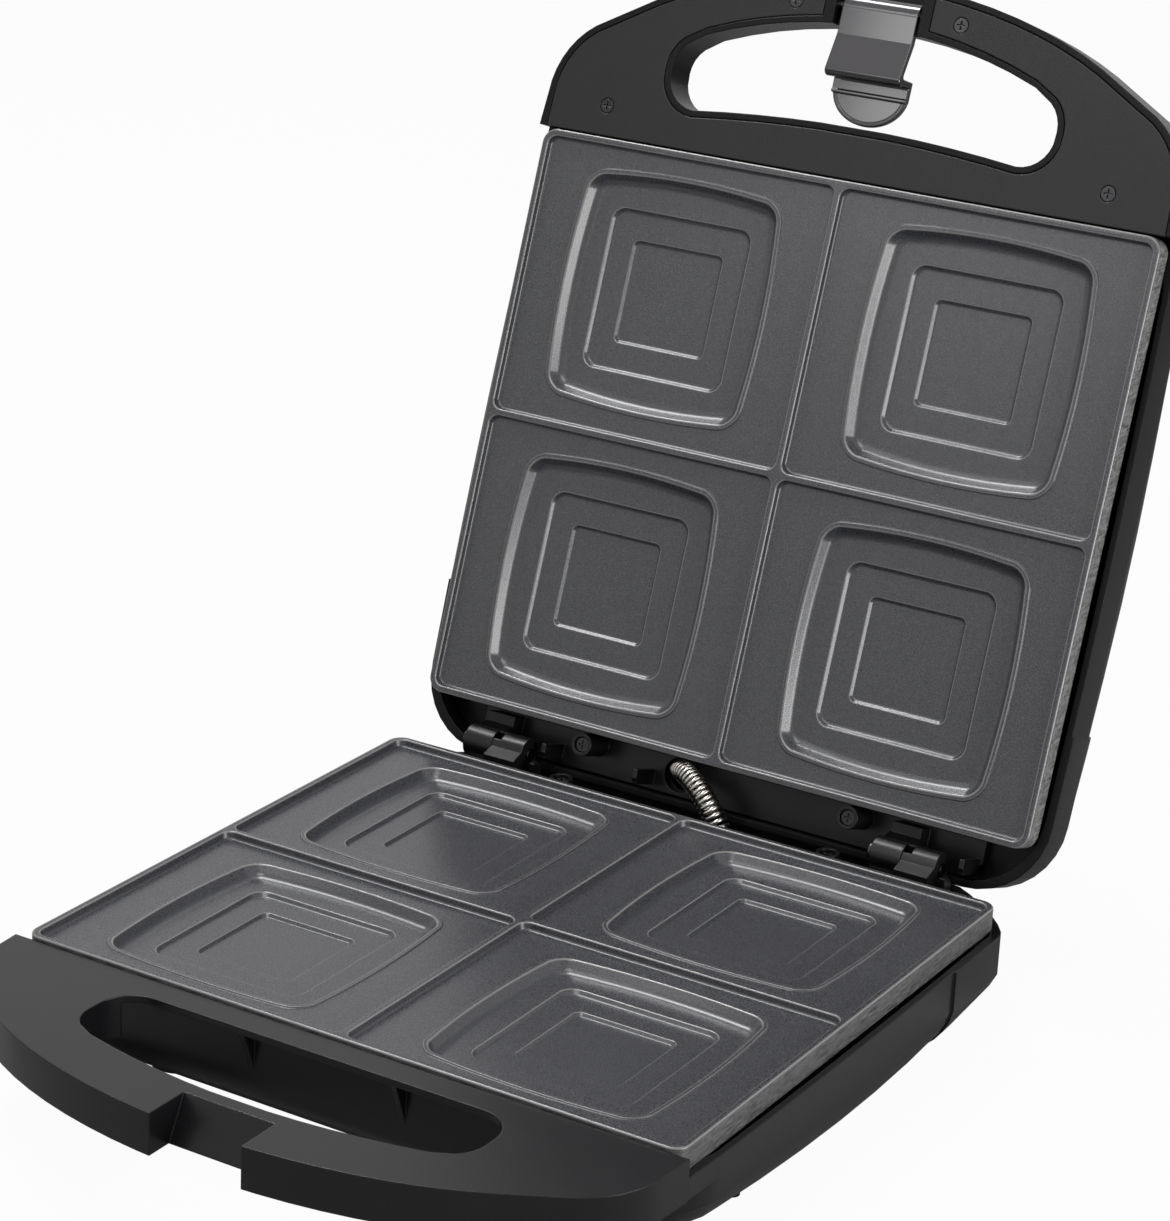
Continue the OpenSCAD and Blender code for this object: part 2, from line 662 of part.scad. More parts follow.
inlet_z = split_z + inlet_r + 3.5;
module base_housing() {
    deck_low = -deck_drop - wall;
    difference() {
        union() {
            difference() {
                union() {
                    body_outside(base_rear, base_corner, 0, split_angle, deck_low + 0.5);
                    handle_shell(handle_low - 1, deck_low);
                }
                body_solid(base_rear, base_corner, wall, 0, split_angle, deck_low, split_z - 1);
                above_rim();
                about_hinge(-lid_open) translate([-200, 0, rim_drop - stop_gap])
                    cube([400, lid_rear + stop_gap, 60]);
            }
            // collar of the grip slot, open along its back edge under a thin lip
            slab(handle_low, -deck_drop) difference() {
                slot_outline(base_slot, collar_t);
                translate([-half_w, base_slot[1] - 5]) square([2 * half_w, 40]);
            }
            intersection() {
                translate([-notch_half - collar_t, front_y - 1, handle_low])
                    cube([notch_w + 2 * collar_t, base_grip_w + 8, handle_t]);
                slab(handle_low, -deck_drop) handle_outline(0, deck_rear);
            }
            for (x = [-base_slot[0] - 13, -30.5, 30.5, base_slot[0] + 13]) translate([x - 1, 0, 0])
                rotate([90, 0, 90]) linear_extrude(2) polygon([[-body_front + 1, deck_low + 0.5],
                    [base_slot[1] + 0.5, deck_low + 0.5], [-body_front, -20], [-body_front + 1, -20]]);
            intersection() {
                body_solid(base_rear, base_corner, 1, 0, split_angle, -9, split_z);
                union() {
                    plate_bosses();
                    rail_shelf(base_rear, base_wire);
                    cover_screw_places() slab(split_z, split_z + 10) union() {
                        circle(r = 5.5);
                        translate([0, -2]) square([20, 4]);
                    }
                }
            }
            translate([-60, base_rear - 1, inlet_z]) rotate([90, 0, 0]) cylinder(r = inlet_r + 3, h = 7);
        }
        slab(handle_low - 1, 0) slot_outline(base_slot, 0);
        base_notch();
        plate_boss_holes();
        cover_screw_places() slab(split_z - 1, split_z + 8) circle(r = screw_r);
        translate([-60, base_rear + 5, inlet_z]) rotate([90, 0, 0]) cylinder(r = inlet_r, h = 20);
    }
}

module bottom_cover() {
    head_z = floor_low + 6;
    difference() {
        union() {
            difference() {
                body_outside(base_rear, base_corner, split_angle, 90);
                body_solid(base_rear, base_corner, wall, split_angle, 90, split_z + 5);
            }
            intersection() {
                body_solid(base_rear, base_corner, 0, split_angle, 90);
                cover_screw_places() slab(floor_low, split_z) circle(r = 6);
            }
            foot_places() slab(floor_low, floor_low + 6) circle(r = foot_r + 1);
            terminal_pegs(1.5);
        }
        cover_screw_places() {
            slab(floor_low - 1, split_z + 1) circle(r = screw_r + 0.2);
            slab(floor_low - 1, head_z) circle(r = head_r + fit);
        }
        foot_places() slab(floor_low - 1, floor_low + 5) circle(r = screw_r);
        for (x = [-40:10:40]) translate([x - 1.2, -20, floor_low - 1]) cube([2.4, 40, 5]);
    }
}

module bottom_cover_screws() {
    cover_screw_places() translate([0, 0, floor_low + 6]) screw(10);
}

module feet() {
    foot_places() difference() {
        slab(floor_low - foot_h, floor_low) circle(r = foot_r);
        slab(floor_low - foot_h - 1, floor_low + 1) circle(r = screw_r + 0.2);
        slab(floor_low - foot_h - 1, floor_low - 3) circle(r = head_r + 1);
    }
}

module feet_screws() { foot_places() translate([0, 0, floor_low - 3]) screw(7); }

// ---- inside the base ----

block = [-46, half_d - 54];                       // near left corner of the terminal block
module terminal_pegs(r) {
    for (x = [5, 25]) translate([block[0] + x, block[1] + 8, 0]) slab(floor_high - 1, floor_high + 10) circle(r = r);
}

module terminal_block() {
    difference() {
        translate([block[0], block[1], floor_high]) cube([30, 16, 9]);
        terminal_pegs(1.6);
        for (x = [3, 12, 21]) translate([block[0] + x + 3, block[1] + 3.5, 0])
            slab(floor_high + 4, floor_high + 10) circle(r = 1.6);
        for (x = [9.5, 18.5]) translate([block[0] + x, block[1] - 1, floor_high + 6]) cube([1, 20, 5]);
    }
}

module terminal_screws() {
    for (x = [3, 12, 21]) translate([block[0] + x + 3, block[1] + 3.5, 0]) difference() {
        slab(floor_high + 4, floor_high + 8.4) circle(r = 1.55);
        translate([-2, -0.3, floor_high + 7.8]) cube([4, 0.6, 2]);
    }
}

fuse_r = 1.25;
module thermal_fuse() {
    z = under_z - fuse_r;
    rod([0, quarter_y - 9, z], [0, quarter_y + 9, z], fuse_r);
    rod([0, quarter_y - 15, z], [0, quarter_y + 15, z], 0.4);
}

module fuse_clip() {
    difference() {
        slab(clip_z - clip_t, clip_z) translate([-17, quarter_y - 4]) square([34, 8]);
        clip_studs() slab(clip_z - 5, clip_z + 5) circle(r = screw_r + 0.2);
    }
}

// ---- lid, written upside down on the base's side of the mating plane ----

module cover_screws_at() {
    mirrored_x() for (p = [[half_w - 30, deck_rear - 11.6], [notch_half + 17, front_y + 12.5]])
        translate(p) children();
}

module lens_places(i) { translate([i == 0 ? -12 : 12, 61 - body_front, 0]) children(); }

module lid_housing() {
    cover_low = -deck_drop - cover_t;
    difference() {
        union() {
            difference() {
                union() {
                    body_outside(lid_rear, lid_corner, 0, 90, cover_low);
                    handle_shell(handle_low + wall, 0);
                }
                body_solid(lid_rear, lid_corner, wall, 0, 90, cover_low + 1);
                above_rim();
            }
            slab(handle_low, -deck_drop) slot_outline(lid_slot, collar_t);
            mirrored_x() intersection() {
                translate([notch_half, front_y - 1, handle_low]) cube([cheek_t, 20, handle_t]);
                slab(handle_low, -deck_drop) handle_outline(0, deck_rear);
            }
            cover_screws_at() slab(handle_low + 1, cover_low) circle(r = 4);
            intersection() {
                body_solid(lid_rear, lid_corner, 1, 0, 90, -9);
                union() {
                    plate_bosses();
                    rail_shelf(lid_rear, lid_wire);
                }
            }
        }
        slab(handle_low - 1, 0) slot_outline(lid_slot, 0);
        // seat of the latch, and the deeper hollow for its barrel
        translate([-notch_half, front_y - 5, -latch_seat]) cube([notch_w, lid_grip_w + 13, 20]);
        translate([-notch_half, front_y - 5, -latch_pin_z - barrel_r - 0.7])
            cube([notch_w, lid_grip_w - collar_t + 5, 20]);
        translate([-30, latch_pin_y, -latch_pin_z]) rotate([0, 90, 0])
            cylinder(r = latch_pin_r + 0.05, h = 60);
        cover_screws_at() slab(handle_low + wall - 1, 0) circle(r = screw_r);
        plate_boss_holes();
        for (i = [0, 1]) lens_places(i) slab(floor_low - 1, floor_high + 1) circle(r = 4);
    }
}

module handle_cover() {
    gap = collar_t + cover_gap;
    difference() {
        slab(-deck_drop - cover_t, -deck_drop) difference() {
            intersection() {
                handle_outline(wall + cover_gap, tail_y + 30);
                translate([-half_w, front_y]) square([2 * half_w, deck_rear - front_y]);
            }
            slot_outline(lid_slot, gap);
            translate([-notch_half - cheek_t - cover_gap, front_y - 5])
                square([notch_w + 2 * cheek_t + 2 * cover_gap, lid_grip_w + 13]);
        }
        cover_screws_at() {
            slab(-10, 0) circle(r = screw_r + 0.2);
            slab(-deck_drop - 1.6, 0) circle(r = head_r + fit);
        }
    }
}

module handle_cover_screws() {
    cover_screws_at() translate([0, 0, -deck_drop - 1.6]) mirror([0, 0, 1]) screw(9);
}

module thermostat() {
    translate([0, quarter_y, 0]) {
        slab(under_z - 2.5, under_z) circle(r = 8);
        difference() {
            slab(clip_z - clip_t, clip_z) union() {
                circle(r = 9);
                translate([-17, -4]) square([34, 8]);
            }
            for (x = [-13, 13]) translate([x, 0, 0]) slab(clip_z - 5, clip_z + 5) circle(r = screw_r + 0.2);
        }
        slab(clip_z - 6.5, clip_z - clip_t) circle(r = 7);
        for (x = [-3.4, 2.6]) translate([x, -2, clip_z - 11]) cube([0.8, 4, 5]);
    }
}

module lens(i) {
    lens_places(i) difference() {
        union() {
            slab(floor_low, floor_high + 5) circle(r = 3.9);
            slab(floor_low - 1, floor_low) circle(r = 5);
        }
        slab(floor_low + 1.5, floor_high + 6) circle(r = 2.6);
    }
}

module neon_lamps() {
    for (i = [0, 1]) lens_places(i) {
        slab(floor_low + 1.5, floor_high + 8) circle(r = 2.5);
        for (x = [-1, 1]) translate([x, 0, 0]) slab(floor_high + 7, floor_high + 14) circle(r = 0.4);
    }
}

// ---- latch, written on the closed lid, folded back into the handle ----

latch_seat = latch_pin_z - barrel_r + latch_t + 0.3;         // what the folded latch lies on
latch_face = latch_pin_z - barrel_r;
catch_y = latch_pin_y + latch_pin_z - handle_low + hook_gap; // face that takes the bar
hook_z = latch_pin_z + hook_reach;

module latch() {
    knee_y = latch_pin_y + 11.2;
    lip_y = catch_y + 1.2;
    difference() {
        translate([-latch_w / 2, 0, 0]) rotate([90, 0, 90]) linear_extrude(latch_w) union() {
            translate([latch_pin_y, latch_pin_z]) circle(r = barrel_r);
            polygon([[latch_pin_y, latch_face], [knee_y, latch_face], [lip_y - 0.6, -0.9],
                [lip_y + 0.6, -0.6], [lip_y + 1.5, 0.4], [lip_y + 1.9, 1.8], [lip_y + 1.3, 3.2],
                [lip_y + 2.2, 5.6], [lip_y + 6.2, 8.3], [lip_y + 6.9, 8.3], [lip_y + 7.3, 9.3],
                [lip_y + 7.3, hook_z], [catch_y, hook_z],
                [catch_y, 1.8], [knee_y, latch_face + latch_t], [latch_pin_y, latch_face + latch_t]]);
        }
        translate([-30, latch_pin_y, latch_pin_z]) rotate([0, 90, 0])
            cylinder(r = latch_pin_r + 0.05, h = 60);
    }
    intersection() {
        translate([0, lip_y + 5, 0]) slab(9.4, hook_z) circle(r = tab_r);
        translate([-30, lip_y + 5, 0]) cube([60, 40, 30]);
    }
}

module latch_pin() {
    translate([-notch_half - cheek_t + 0.4, latch_pin_y, latch_pin_z]) rotate([0, 90, 0])
        cylinder(r = latch_pin_r, h = notch_w + 2 * cheek_t - 0.8);
}

// ---- conduit between the halves: a curve through the hinge gap, lid open ----

function lid_point(y, z) = [
    hinge_y + (y - hinge_y) * cos(lid_open) + (z - hinge_z) * sin(lid_open),
    hinge_z - (y - hinge_y) * sin(lid_open) + (z - hinge_z) * cos(lid_open)];
conduit_end = lid_point(lid_wire[1], -rail_low + 0.5);
conduit_path = [
    [base_wire[0], base_wire[1], rail_low - 0.5], [base_wire[0] - 5, hinge_y - 1.9, 4],
    [lid_wire[0] + 2, hinge_y + 3.1, 15], [lid_wire[0], conduit_end[0], conduit_end[1]]];
function bezier(p, t) = p[0] * pow(1 - t, 3) + 3 * p[1] * t * pow(1 - t, 2)
    + 3 * p[2] * t * t * (1 - t) + p[3] * pow(t, 3);
function unit(v) = v / norm(v);
function tube_ring(p, t, r, n) =
    let (c = bezier(p, t), d = unit(bezier(p, t + 0.01) - bezier(p, t - 0.01)),
         u = unit(cross([1, 0.2, 0], d)), v = cross(d, u))
    [for (i = [0:n - 1]) c + r * (cos(360 * i / n) * u + sin(360 * i / n) * v)];

// Tube through rings that run up its outside and back down its inside
module pipe(rings) {
    n = len(rings[0]);
    m = len(rings);
    polyhedron(
        points = [for (r = rings) for (p = r) p],
        faces = [for (k = [0:m - 1]) let (a = k * n, b = (k + 1) % m * n) for (i = [0:n - 1])
            let (j = (i + 1) % n) for (f = [[a + i, b + i, a + j], [a + j, b + i, b + j]]) f]);
}

module wiring_conduit() {
    pipe(concat(
        [for (i = [0:12]) tube_ring(conduit_path, i / 12, conduit_r, 20)],
        [for (i = [12:-1:0]) tube_ring(conduit_path, i / 12, conduit_r - 1.2, 20)]));
}

// ---- the parts, placed ----

color("#2b2a2c") stand() base_housing();
color("#232324") stand() bottom_cover();
color("#8b8b8d") stand() bottom_cover_screws();
color("#1a1a1a") stand() feet();
color("#8b8b8d") stand() feet_screws();
color("#4a4a4e") stand() cooking_plate();  // base_plate
color("#6f6a64") stand() element();  // base_element
color("#a9a9ab") stand() element_bar();  // base_element_bar
color("#9a9a9c") stand() inner_screws();  // base_inner_screws
color("#b8b9bb") stand() reflector();  // base_reflector
color("#8b8b8d") stand() plate_screws();  // base_plate_screws
color("#333436") stand()  // base_hinge_rail
    hinge_rail(false, base_web, base_wire, base_ribs);
color("#3c3c3e") stand() rail_screws();  // base_rail_screws
color("#d9d4c8") stand() thermal_fuse();
color("#a9a9ab") stand() fuse_clip();
color("#e6e2d6") stand() terminal_block();
color("#b99a4a") stand() terminal_screws();
color("#2b2a2c") lid_side() lid_housing();
color("#2f2e2f") lid_side() handle_cover();
color("#3c3c3e") lid_side() handle_cover_screws();
color("#4a4a4e") lid_side() cooking_plate();  // lid_plate
color("#6f6a64") lid_side() element();  // lid_element
color("#a9a9ab") lid_side() element_bar();  // lid_element_bar
color("#9a9a9c") lid_side() inner_screws();  // lid_inner_screws
color("#b8b9bb") lid_side() reflector();  // lid_reflector
color("#8b8b8d") lid_side() plate_screws();  // lid_plate_screws
color("#333436") lid_side()  // lid_hinge_rail
    hinge_rail(true, lid_web, lid_wire, lid_ribs);
color("#3c3c3e") lid_side() rail_screws();  // lid_rail_screws
color("#cfc9bb") lid_side() thermostat();
color("#b3261e") lid_side() lens(0);  // power_lens
color("#2f9e44") lid_side() lens(1);  // ready_lens
color("#f0d9b0") lid_side() neon_lamps();
color("#a0a0a2") stand() hinge_pins();
color("#4b4a50") open_lid() latch();
color("#a0a0a2") open_lid() latch_pin();
color("#b9b7b3") stand() wiring_conduit();
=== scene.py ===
# %% [markdown]
# # A sandwich toaster, finished piece by piece
# The packed model already holds every piece at its right size and place. The whole toaster could
# be modelled again here, but then it would have to be measured and fitted again. So this script
# gives each piece its finish, replaces only the four whose detail needs a finer mesh, and sets
# up a plain studio.

# %% Load the packed model
import math

import bmesh
import bpy
from mathutils import Matrix, Vector
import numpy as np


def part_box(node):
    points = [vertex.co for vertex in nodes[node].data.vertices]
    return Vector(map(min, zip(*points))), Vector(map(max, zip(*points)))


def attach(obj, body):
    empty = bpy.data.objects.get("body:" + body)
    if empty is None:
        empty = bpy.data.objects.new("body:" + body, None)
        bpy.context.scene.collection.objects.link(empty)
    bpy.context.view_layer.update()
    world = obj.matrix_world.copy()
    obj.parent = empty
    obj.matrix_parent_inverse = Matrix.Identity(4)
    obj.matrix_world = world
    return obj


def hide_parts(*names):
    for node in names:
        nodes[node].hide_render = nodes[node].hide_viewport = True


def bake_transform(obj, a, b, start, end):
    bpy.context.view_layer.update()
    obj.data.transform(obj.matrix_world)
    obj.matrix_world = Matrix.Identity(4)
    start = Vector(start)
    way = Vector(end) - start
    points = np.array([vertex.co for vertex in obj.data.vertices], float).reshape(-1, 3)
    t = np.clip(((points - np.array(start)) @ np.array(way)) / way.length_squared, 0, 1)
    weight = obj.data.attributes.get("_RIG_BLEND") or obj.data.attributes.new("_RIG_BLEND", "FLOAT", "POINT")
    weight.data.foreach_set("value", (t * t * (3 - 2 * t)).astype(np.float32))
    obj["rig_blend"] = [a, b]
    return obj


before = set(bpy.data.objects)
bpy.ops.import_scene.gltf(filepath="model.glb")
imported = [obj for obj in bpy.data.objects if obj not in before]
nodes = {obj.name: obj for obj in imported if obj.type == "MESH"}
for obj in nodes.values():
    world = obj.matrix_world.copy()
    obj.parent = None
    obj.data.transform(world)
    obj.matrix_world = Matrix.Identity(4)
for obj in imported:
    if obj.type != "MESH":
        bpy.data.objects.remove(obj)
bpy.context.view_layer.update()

# %% [markdown]
# ## Where things are
# The maker of the model measured everything from the middle of the plates, in the plane where
# they meet. The sums could be done again at every piece, but two matrices do them once: each
# turns such a point, in millimetres, into metres in the scene. One is for the base, and one is
# for the lid, whose points are given closed and swung open here.

# %% Places on the base and on the lid
STAND = 52.0                        # height of the plane where the plates meet
HINGE_Y, HINGE_Z = 128.9, -0.4
OPEN = math.radians(108.6)
low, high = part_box("base_plate")
PLATE_Y = (low[1] + high[1]) / 2 * 1000

to_scene = Matrix.Scale(0.001, 4) @ Matrix.Translation((0, PLATE_Y, STAND))
swing = (Matrix.Translation((0, HINGE_Y, HINGE_Z)) @ Matrix.Rotation(-OPEN, 4, "X")
         @ Matrix.Translation((0, -HINGE_Y, -HINGE_Z)))
lid_to_scene = to_scene @ swing
upside_down = Matrix.Scale(-1, 4, (0, 0, 1))
print("plates' centre lies at y =", round(PLATE_Y, 2), "mm")

# %% [markdown]
# ## Sums with shader sockets
# A finish is a net of nodes. It could be wired link by link, but it is easier to read as a sum.
# `Wire` wraps a socket, so that `0.4 + 0.1 * grain` builds its own Math nodes.

# %% A wire that can be added and multiplied
def plug(tree, socket, value):
    if isinstance(value, Wire):
        tree.links.new(value.socket, socket)
    else:
        socket.default_value = value


class Wire:
    def __init__(self, tree, socket):
        self.tree, self.socket = tree, socket

    def math(self, operation, *values):
        node = self.tree.nodes.new("ShaderNodeMath")
        node.operation = operation
        for socket, value in zip(node.inputs, values):
            plug(self.tree, socket, value)
        return Wire(self.tree, node.outputs[0])

    def __add__(self, other): return self.math("ADD", self, other)
    def __radd__(self, other): return self.math("ADD", other, self)
    def __sub__(self, other): return self.math("SUBTRACT", self, other)
    def __rsub__(self, other): return self.math("SUBTRACT", other, self)
    def __mul__(self, other): return self.math("MULTIPLY", self, other)
    def __rmul__(self, other): return self.math("MULTIPLY", other, self)
    def clip(self): return self.math("MINIMUM", self.math("MAXIMUM", self, 0.0), 1.0)


print("sums a wire can do:", [name for name in vars(Wire) if name.endswith(("add__", "sub__", "mul__"))])

# %% [markdown]
# Every other node comes from `Net.make`, which takes its type, its settings and then its
# sockets, by name or by number. `Finish` is such a net on a new material, with the few steps
# that most finishes share.

# %% A net of nodes, and a finish
class Net:
    def __init__(self, tree):
        self.tree = tree

    def make(self, kind, settings=None, out=0, **inputs):
        node = self.tree.nodes.new(kind)
        for name, value in (settings or {}).items():
            setattr(node, name, value)
        for name, value in inputs.items():
            key = int(name[1:]) if name[0] == "i" and name[1:].isdigit() else name.replace("_", " ")
            plug(self.tree, node.inputs[key], value)
        return Wire(self.tree, node.outputs[out])


class Finish(Net):
    def __init__(self, name, **constants):
        self.material = bpy.data.materials.new(name)
        self.material.use_nodes = True
        super().__init__(self.material.node_tree)
        self.shader = self.tree.nodes["Principled BSDF"]
        self.feed(**constants)
        self.at = self.make("ShaderNodeTexCoord", out="Object")

    def feed(self, **inputs):
        for name, value in inputs.items():
            plug(self.tree, self.shader.inputs[name.replace("_", " ")], value)

    def noise(self, scale, detail=2.0, roughness=0.5, at=None):
        return self.make("ShaderNodeTexNoise", Vector=at or self.at, Scale=scale, Detail=detail,
                         Roughness=roughness)

    def mix(self, factor, dark, light):
        return self.make("ShaderNodeMix", {"data_type": "RGBA"}, out=2, i0=factor, i6=dark, i7=light)

    def attribute(self, name):
        return self.make("ShaderNodeAttribute", {"attribute_name": name}, out="Fac")

    def relief(self, height, distance, edge=0.0):
        inputs = {"Height": height, "Distance": distance, "Strength": 1.0}
        if edge:
            inputs["Normal"] = self.make("ShaderNodeBevel", {"samples": 6}, Radius=edge)
        self.feed(Normal=self.make("ShaderNodeBump", **inputs))


def grey(level):
    return (level, level, level, 1.0)


def shaded(colour, share):
    return tuple(c * share for c in colour[:3]) + (1,)


print("a darker red:", shaded((0.8, 0.1, 0.1, 1), 0.5))

# %% [markdown]
# ## Black moulded plastic
# The housings are moulded in black plastic from a finely spark-eroded tool, so the surface has
# an even grain of about a third of a millimetre, and every edge carries a small radius that
# catches the light. A Bevel modifier could round the edges, but the moulded shells have too many
# short ones for it, so the Bevel node does it in the finish. The grain is a Noise texture read
# in Object coordinates, which keeps its scale the same on every piece. Lengths in a finish are
# in metres, and a noise's scale is its number of waves in a metre.

# %% Plastics, rubber and ceramic
MOTTLE, GRAIN = 60.0, 2600.0


def moulded(name, low, high, rough, grain=0.00006, edge=0.0007, spread=0.05, painted_shade=False, **constants):
    f = Finish(name, **constants)
    mottle = f.noise(MOTTLE, 3.0)
    fine = f.noise(GRAIN, 2.0)
    body = f.mix((mottle * 0.6 + fine * 0.4), low, high)
    # Painted shade: where the mesh's mark is negative, the colour is mixed towards near black
    if painted_shade:
        body = f.mix((-1.0 * f.attribute("wear_and_painted_light")).clip(), body, grey(0.006))
    f.feed(Base_Color=body,
           Roughness=rough + spread * (mottle - 0.5) + 0.08 * (fine - 0.5))
    f.relief(fine, grain, edge)
    return f.material


housing_plastic = moulded("housing_plastic", (0.006, 0.0055, 0.0065, 1), (0.012, 0.011, 0.013, 1), 0.2,
                          Specular_IOR_Level=0.32)
# The lid's shell is the base housing's black plastic, painted darker as shade and made less glossy
lid_plastic_shaded = moulded("lid_plastic_shaded", (0.004, 0.0037, 0.0043, 1), (0.008, 0.0075, 0.0087, 1), 0.26,
                      Specular_IOR_Level=0.14)
cover_plastic = moulded("cover_plastic", (0.010, 0.0097, 0.0093, 1), (0.018, 0.0172, 0.0172, 1), 0.34,
                        grain=0.00005, Specular_IOR_Level=0.3)
# The hinge rails are the housing's black plastic, painted darker still as the hinge cavity's shade
rail_plastic_shaded = moulded("rail_plastic_shaded", (0.004, 0.0042, 0.0045, 1), (0.008, 0.008, 0.0085, 1), 0.3,
                       grain=0.00002, edge=0.0006, Specular_IOR_Level=0.28)
# The latch's plastic takes painted shade in its hollow and under its lip
latch_plastic = moulded("latch_plastic", (0.038, 0.035, 0.040, 1), (0.050, 0.046, 0.052, 1), 0.1,
                        grain=0.000002, edge=0.0003, spread=0.02, painted_shade=True, Specular_IOR_Level=0.8)
rubber = moulded("rubber", grey(0.012), grey(0.022), 0.75, grain=0.0001, edge=0.001)
ceramic = moulded("ceramic", (0.62, 0.58, 0.50, 1), (0.74, 0.70, 0.62, 1), 0.5, grain=0.00003)
print("nodes in the housing's finish:", len(housing_plastic.node_tree.nodes))

# %% [markdown]
# ## Non-stick coating
# The plates are cast aluminium with a sprayed non-stick coat. Close to, it is a dark blue-grey
# with a fine sparkle of mica. Along the convex folds it is painted lighter: partly the real wear
# where bread and knives rub, partly a painted highlight on the edges. One noise could make it
# speckled, but coat and mica have different grain, so Voronoi cells give the flecks and Noise
# gives the slight orange-peel. The lighter folds aren't guessed by the shader: the plate's mesh
# carries them as an attribute, made along with each fold.

# %% Coating
PEEL, PATCHES, GRIT, MICA = 700.0, 14.0, 3400.0, 1300.0
FLECK_R = 0.26                      # of a mica cell's width
COAT_DARK, COAT_LIGHT = (0.014, 0.015, 0.019, 1), (0.090, 0.091, 0.102, 1)
# Worn coat and painted highlight: the lighter colour that the convex folds are mixed towards
COAT_WORN_AND_HIGHLIGHT = (0.26, 0.257, 0.25, 1)


def coating(name):
    f = Finish(name, Specular_IOR_Level=0.7)
    peel = f.noise(PEEL, 2.0)
    patches = f.noise(PATCHES, 4.0, 0.6)
    grit = f.noise(GRIT, 1.0)
    fleck = f.make("ShaderNodeTexVoronoi", {"feature": "F1"}, out="Distance", Vector=f.at, Scale=MICA)
    sparkle = ((FLECK_R - fleck) * 5.0).clip()
    wear_and_painted_light = f.attribute("wear_and_painted_light")
    shade = (0.3 + patches * 0.2 + (grit - 0.5) * 3.0 + sparkle * 0.9).clip()
    coat = f.mix(shade, COAT_DARK, COAT_LIGHT)
    # Painted highlight, partly real wear: convex folds are mixed towards the light colour
    worn_and_painted = f.mix((wear_and_painted_light * (0.5 + grit * 0.6)).clip(), coat, COAT_WORN_AND_HIGHLIGHT)
    f.feed(Base_Color=worn_and_painted, Roughness=0.27 + 0.08 * (patches - 0.5) + 0.12 * (grit - 0.5) - 0.04 * wear_and_painted_light)
    f.relief(peel * 0.5 + grit * 0.5, 0.00003)
    return f.material


plate_coating = coating("plate_coating")
print("nodes in the coating:", len(plate_coating.node_tree.nodes))

# %% [markdown]
# The casting's outer flanks are left rough by the trimming tool, in streaks that run round them,
# parallel to the plate. Noise that is squeezed along the plate's height makes streaks, and a
# Mapping node tilts them, because the lid's plate stands at another angle than the base's.

# %% Trimmed flanks
ALONG_THE_PLATE = (0.05, 0.05, 1.0)
STREAKS, CHATTER = 2600.0, 500.0
FLANK_DARK = (0.035, 0.036, 0.038, 1)


def flank(name, tilt, light):
    f = Finish(name, Specular_IOR_Level=0.6)
    level = f.make("ShaderNodeMapping", Vector=f.at, Rotation=(tilt, 0.0, 0.0), Scale=ALONG_THE_PLATE)
    streaks = f.noise(STREAKS, 4.0, 0.7, at=level)
    chatter = f.noise(CHATTER, 3.0, 0.6)
    shade = ((streaks - 0.5) * 3.5 + (chatter - 0.5) * 1.5 + 0.5).clip()
    f.feed(Base_Color=f.mix(shade, FLANK_DARK, (light, light, 0.97 * light, 1)),
           Roughness=0.42 + 0.2 * (streaks - 0.5))
    f.relief(streaks * 0.7 + chatter * 0.3, 0.00015)
    return f.material


# One trimmed casting: the lid's flank is painted lighter as lit from the right, the base's darker as in
# shade
plate_flanks = {"base": flank("base_plate_flank_shaded", 0.0, 0.16), "lid": flank("lid_plate_flank_lit", OPEN, 0.34)}
print("flanks:", [material.name for material in plate_flanks.values()])

# %% [markdown]
# ## Metals
# Screws are zinc plated or blackened, the pins are ground, the reflectors are rolled sheet and
# the elements are drawn steel tube that has gone brown with heat. Each could have a recipe of its
# own, but all carry working marks that run one way, so one recipe makes them all: a streaky
# noise along one axis, over a metallic base, and a stain where the metal is tarnished.

# %% Metals
MARKS, STAIN = 1800.0, 90.0
UPRIGHT, SIDEWAYS = (1.0, 1.0, 0.08), (0.05, 1.0, 1.0)  # which way the marks run


def metal(name, colour, rough, streak=UPRIGHT, tarnish=None, edge=0.0003):
    f = Finish(name, Metallic=1.0)
    along = f.make("ShaderNodeMapping", Vector=f.at, Scale=streak)
    marks = f.noise(MARKS, 3.0, at=along)
    stain = f.noise(STAIN, 4.0)
    base = f.mix(marks, shaded(colour, 0.72), colour)
    if tarnish:
        base = f.mix((stain * 1.6 - 0.4).clip(), base, tarnish)
    f.feed(Base_Color=base, Roughness=rough + 0.14 * (stain - 0.5) + 0.08 * (marks - 0.5))
    f.relief(marks, 0.00001, edge)
    return f.material


zinc = metal("zinc_plate", (0.62, 0.62, 0.63, 1), 0.32)
blackened = metal("blackened_steel", (0.05, 0.05, 0.053, 1), 0.24)
ground_steel = metal("ground_steel", (0.60, 0.60, 0.61, 1), 0.22)
spring_steel = metal("spring_steel", (0.56, 0.54, 0.51, 1), 0.2, tarnish=(0.30, 0.28, 0.25, 1))
sheathed = metal("element_sheath", (0.34, 0.31, 0.28, 1), 0.45, tarnish=(0.20, 0.13, 0.09, 1))
rolled_sheet = metal("rolled_sheet", (0.78, 0.78, 0.79, 1), 0.3, streak=SIDEWAYS)
brass = metal("brass", (0.72, 0.52, 0.22, 1), 0.28)
print("nodes in the spring's finish:", len(spring_steel.node_tree.nodes))

# %% [markdown]
# ## Lenses
# Two clear plastic lenses show the neon lamps behind them, one red and one green. Transmission
# with one colour would make them clear through and through, but a moulded lens is a little
# cloudy, so a noise stirs both its colour and its roughness.

# %% Lenses and lamp glass
CLOUD = 400.0


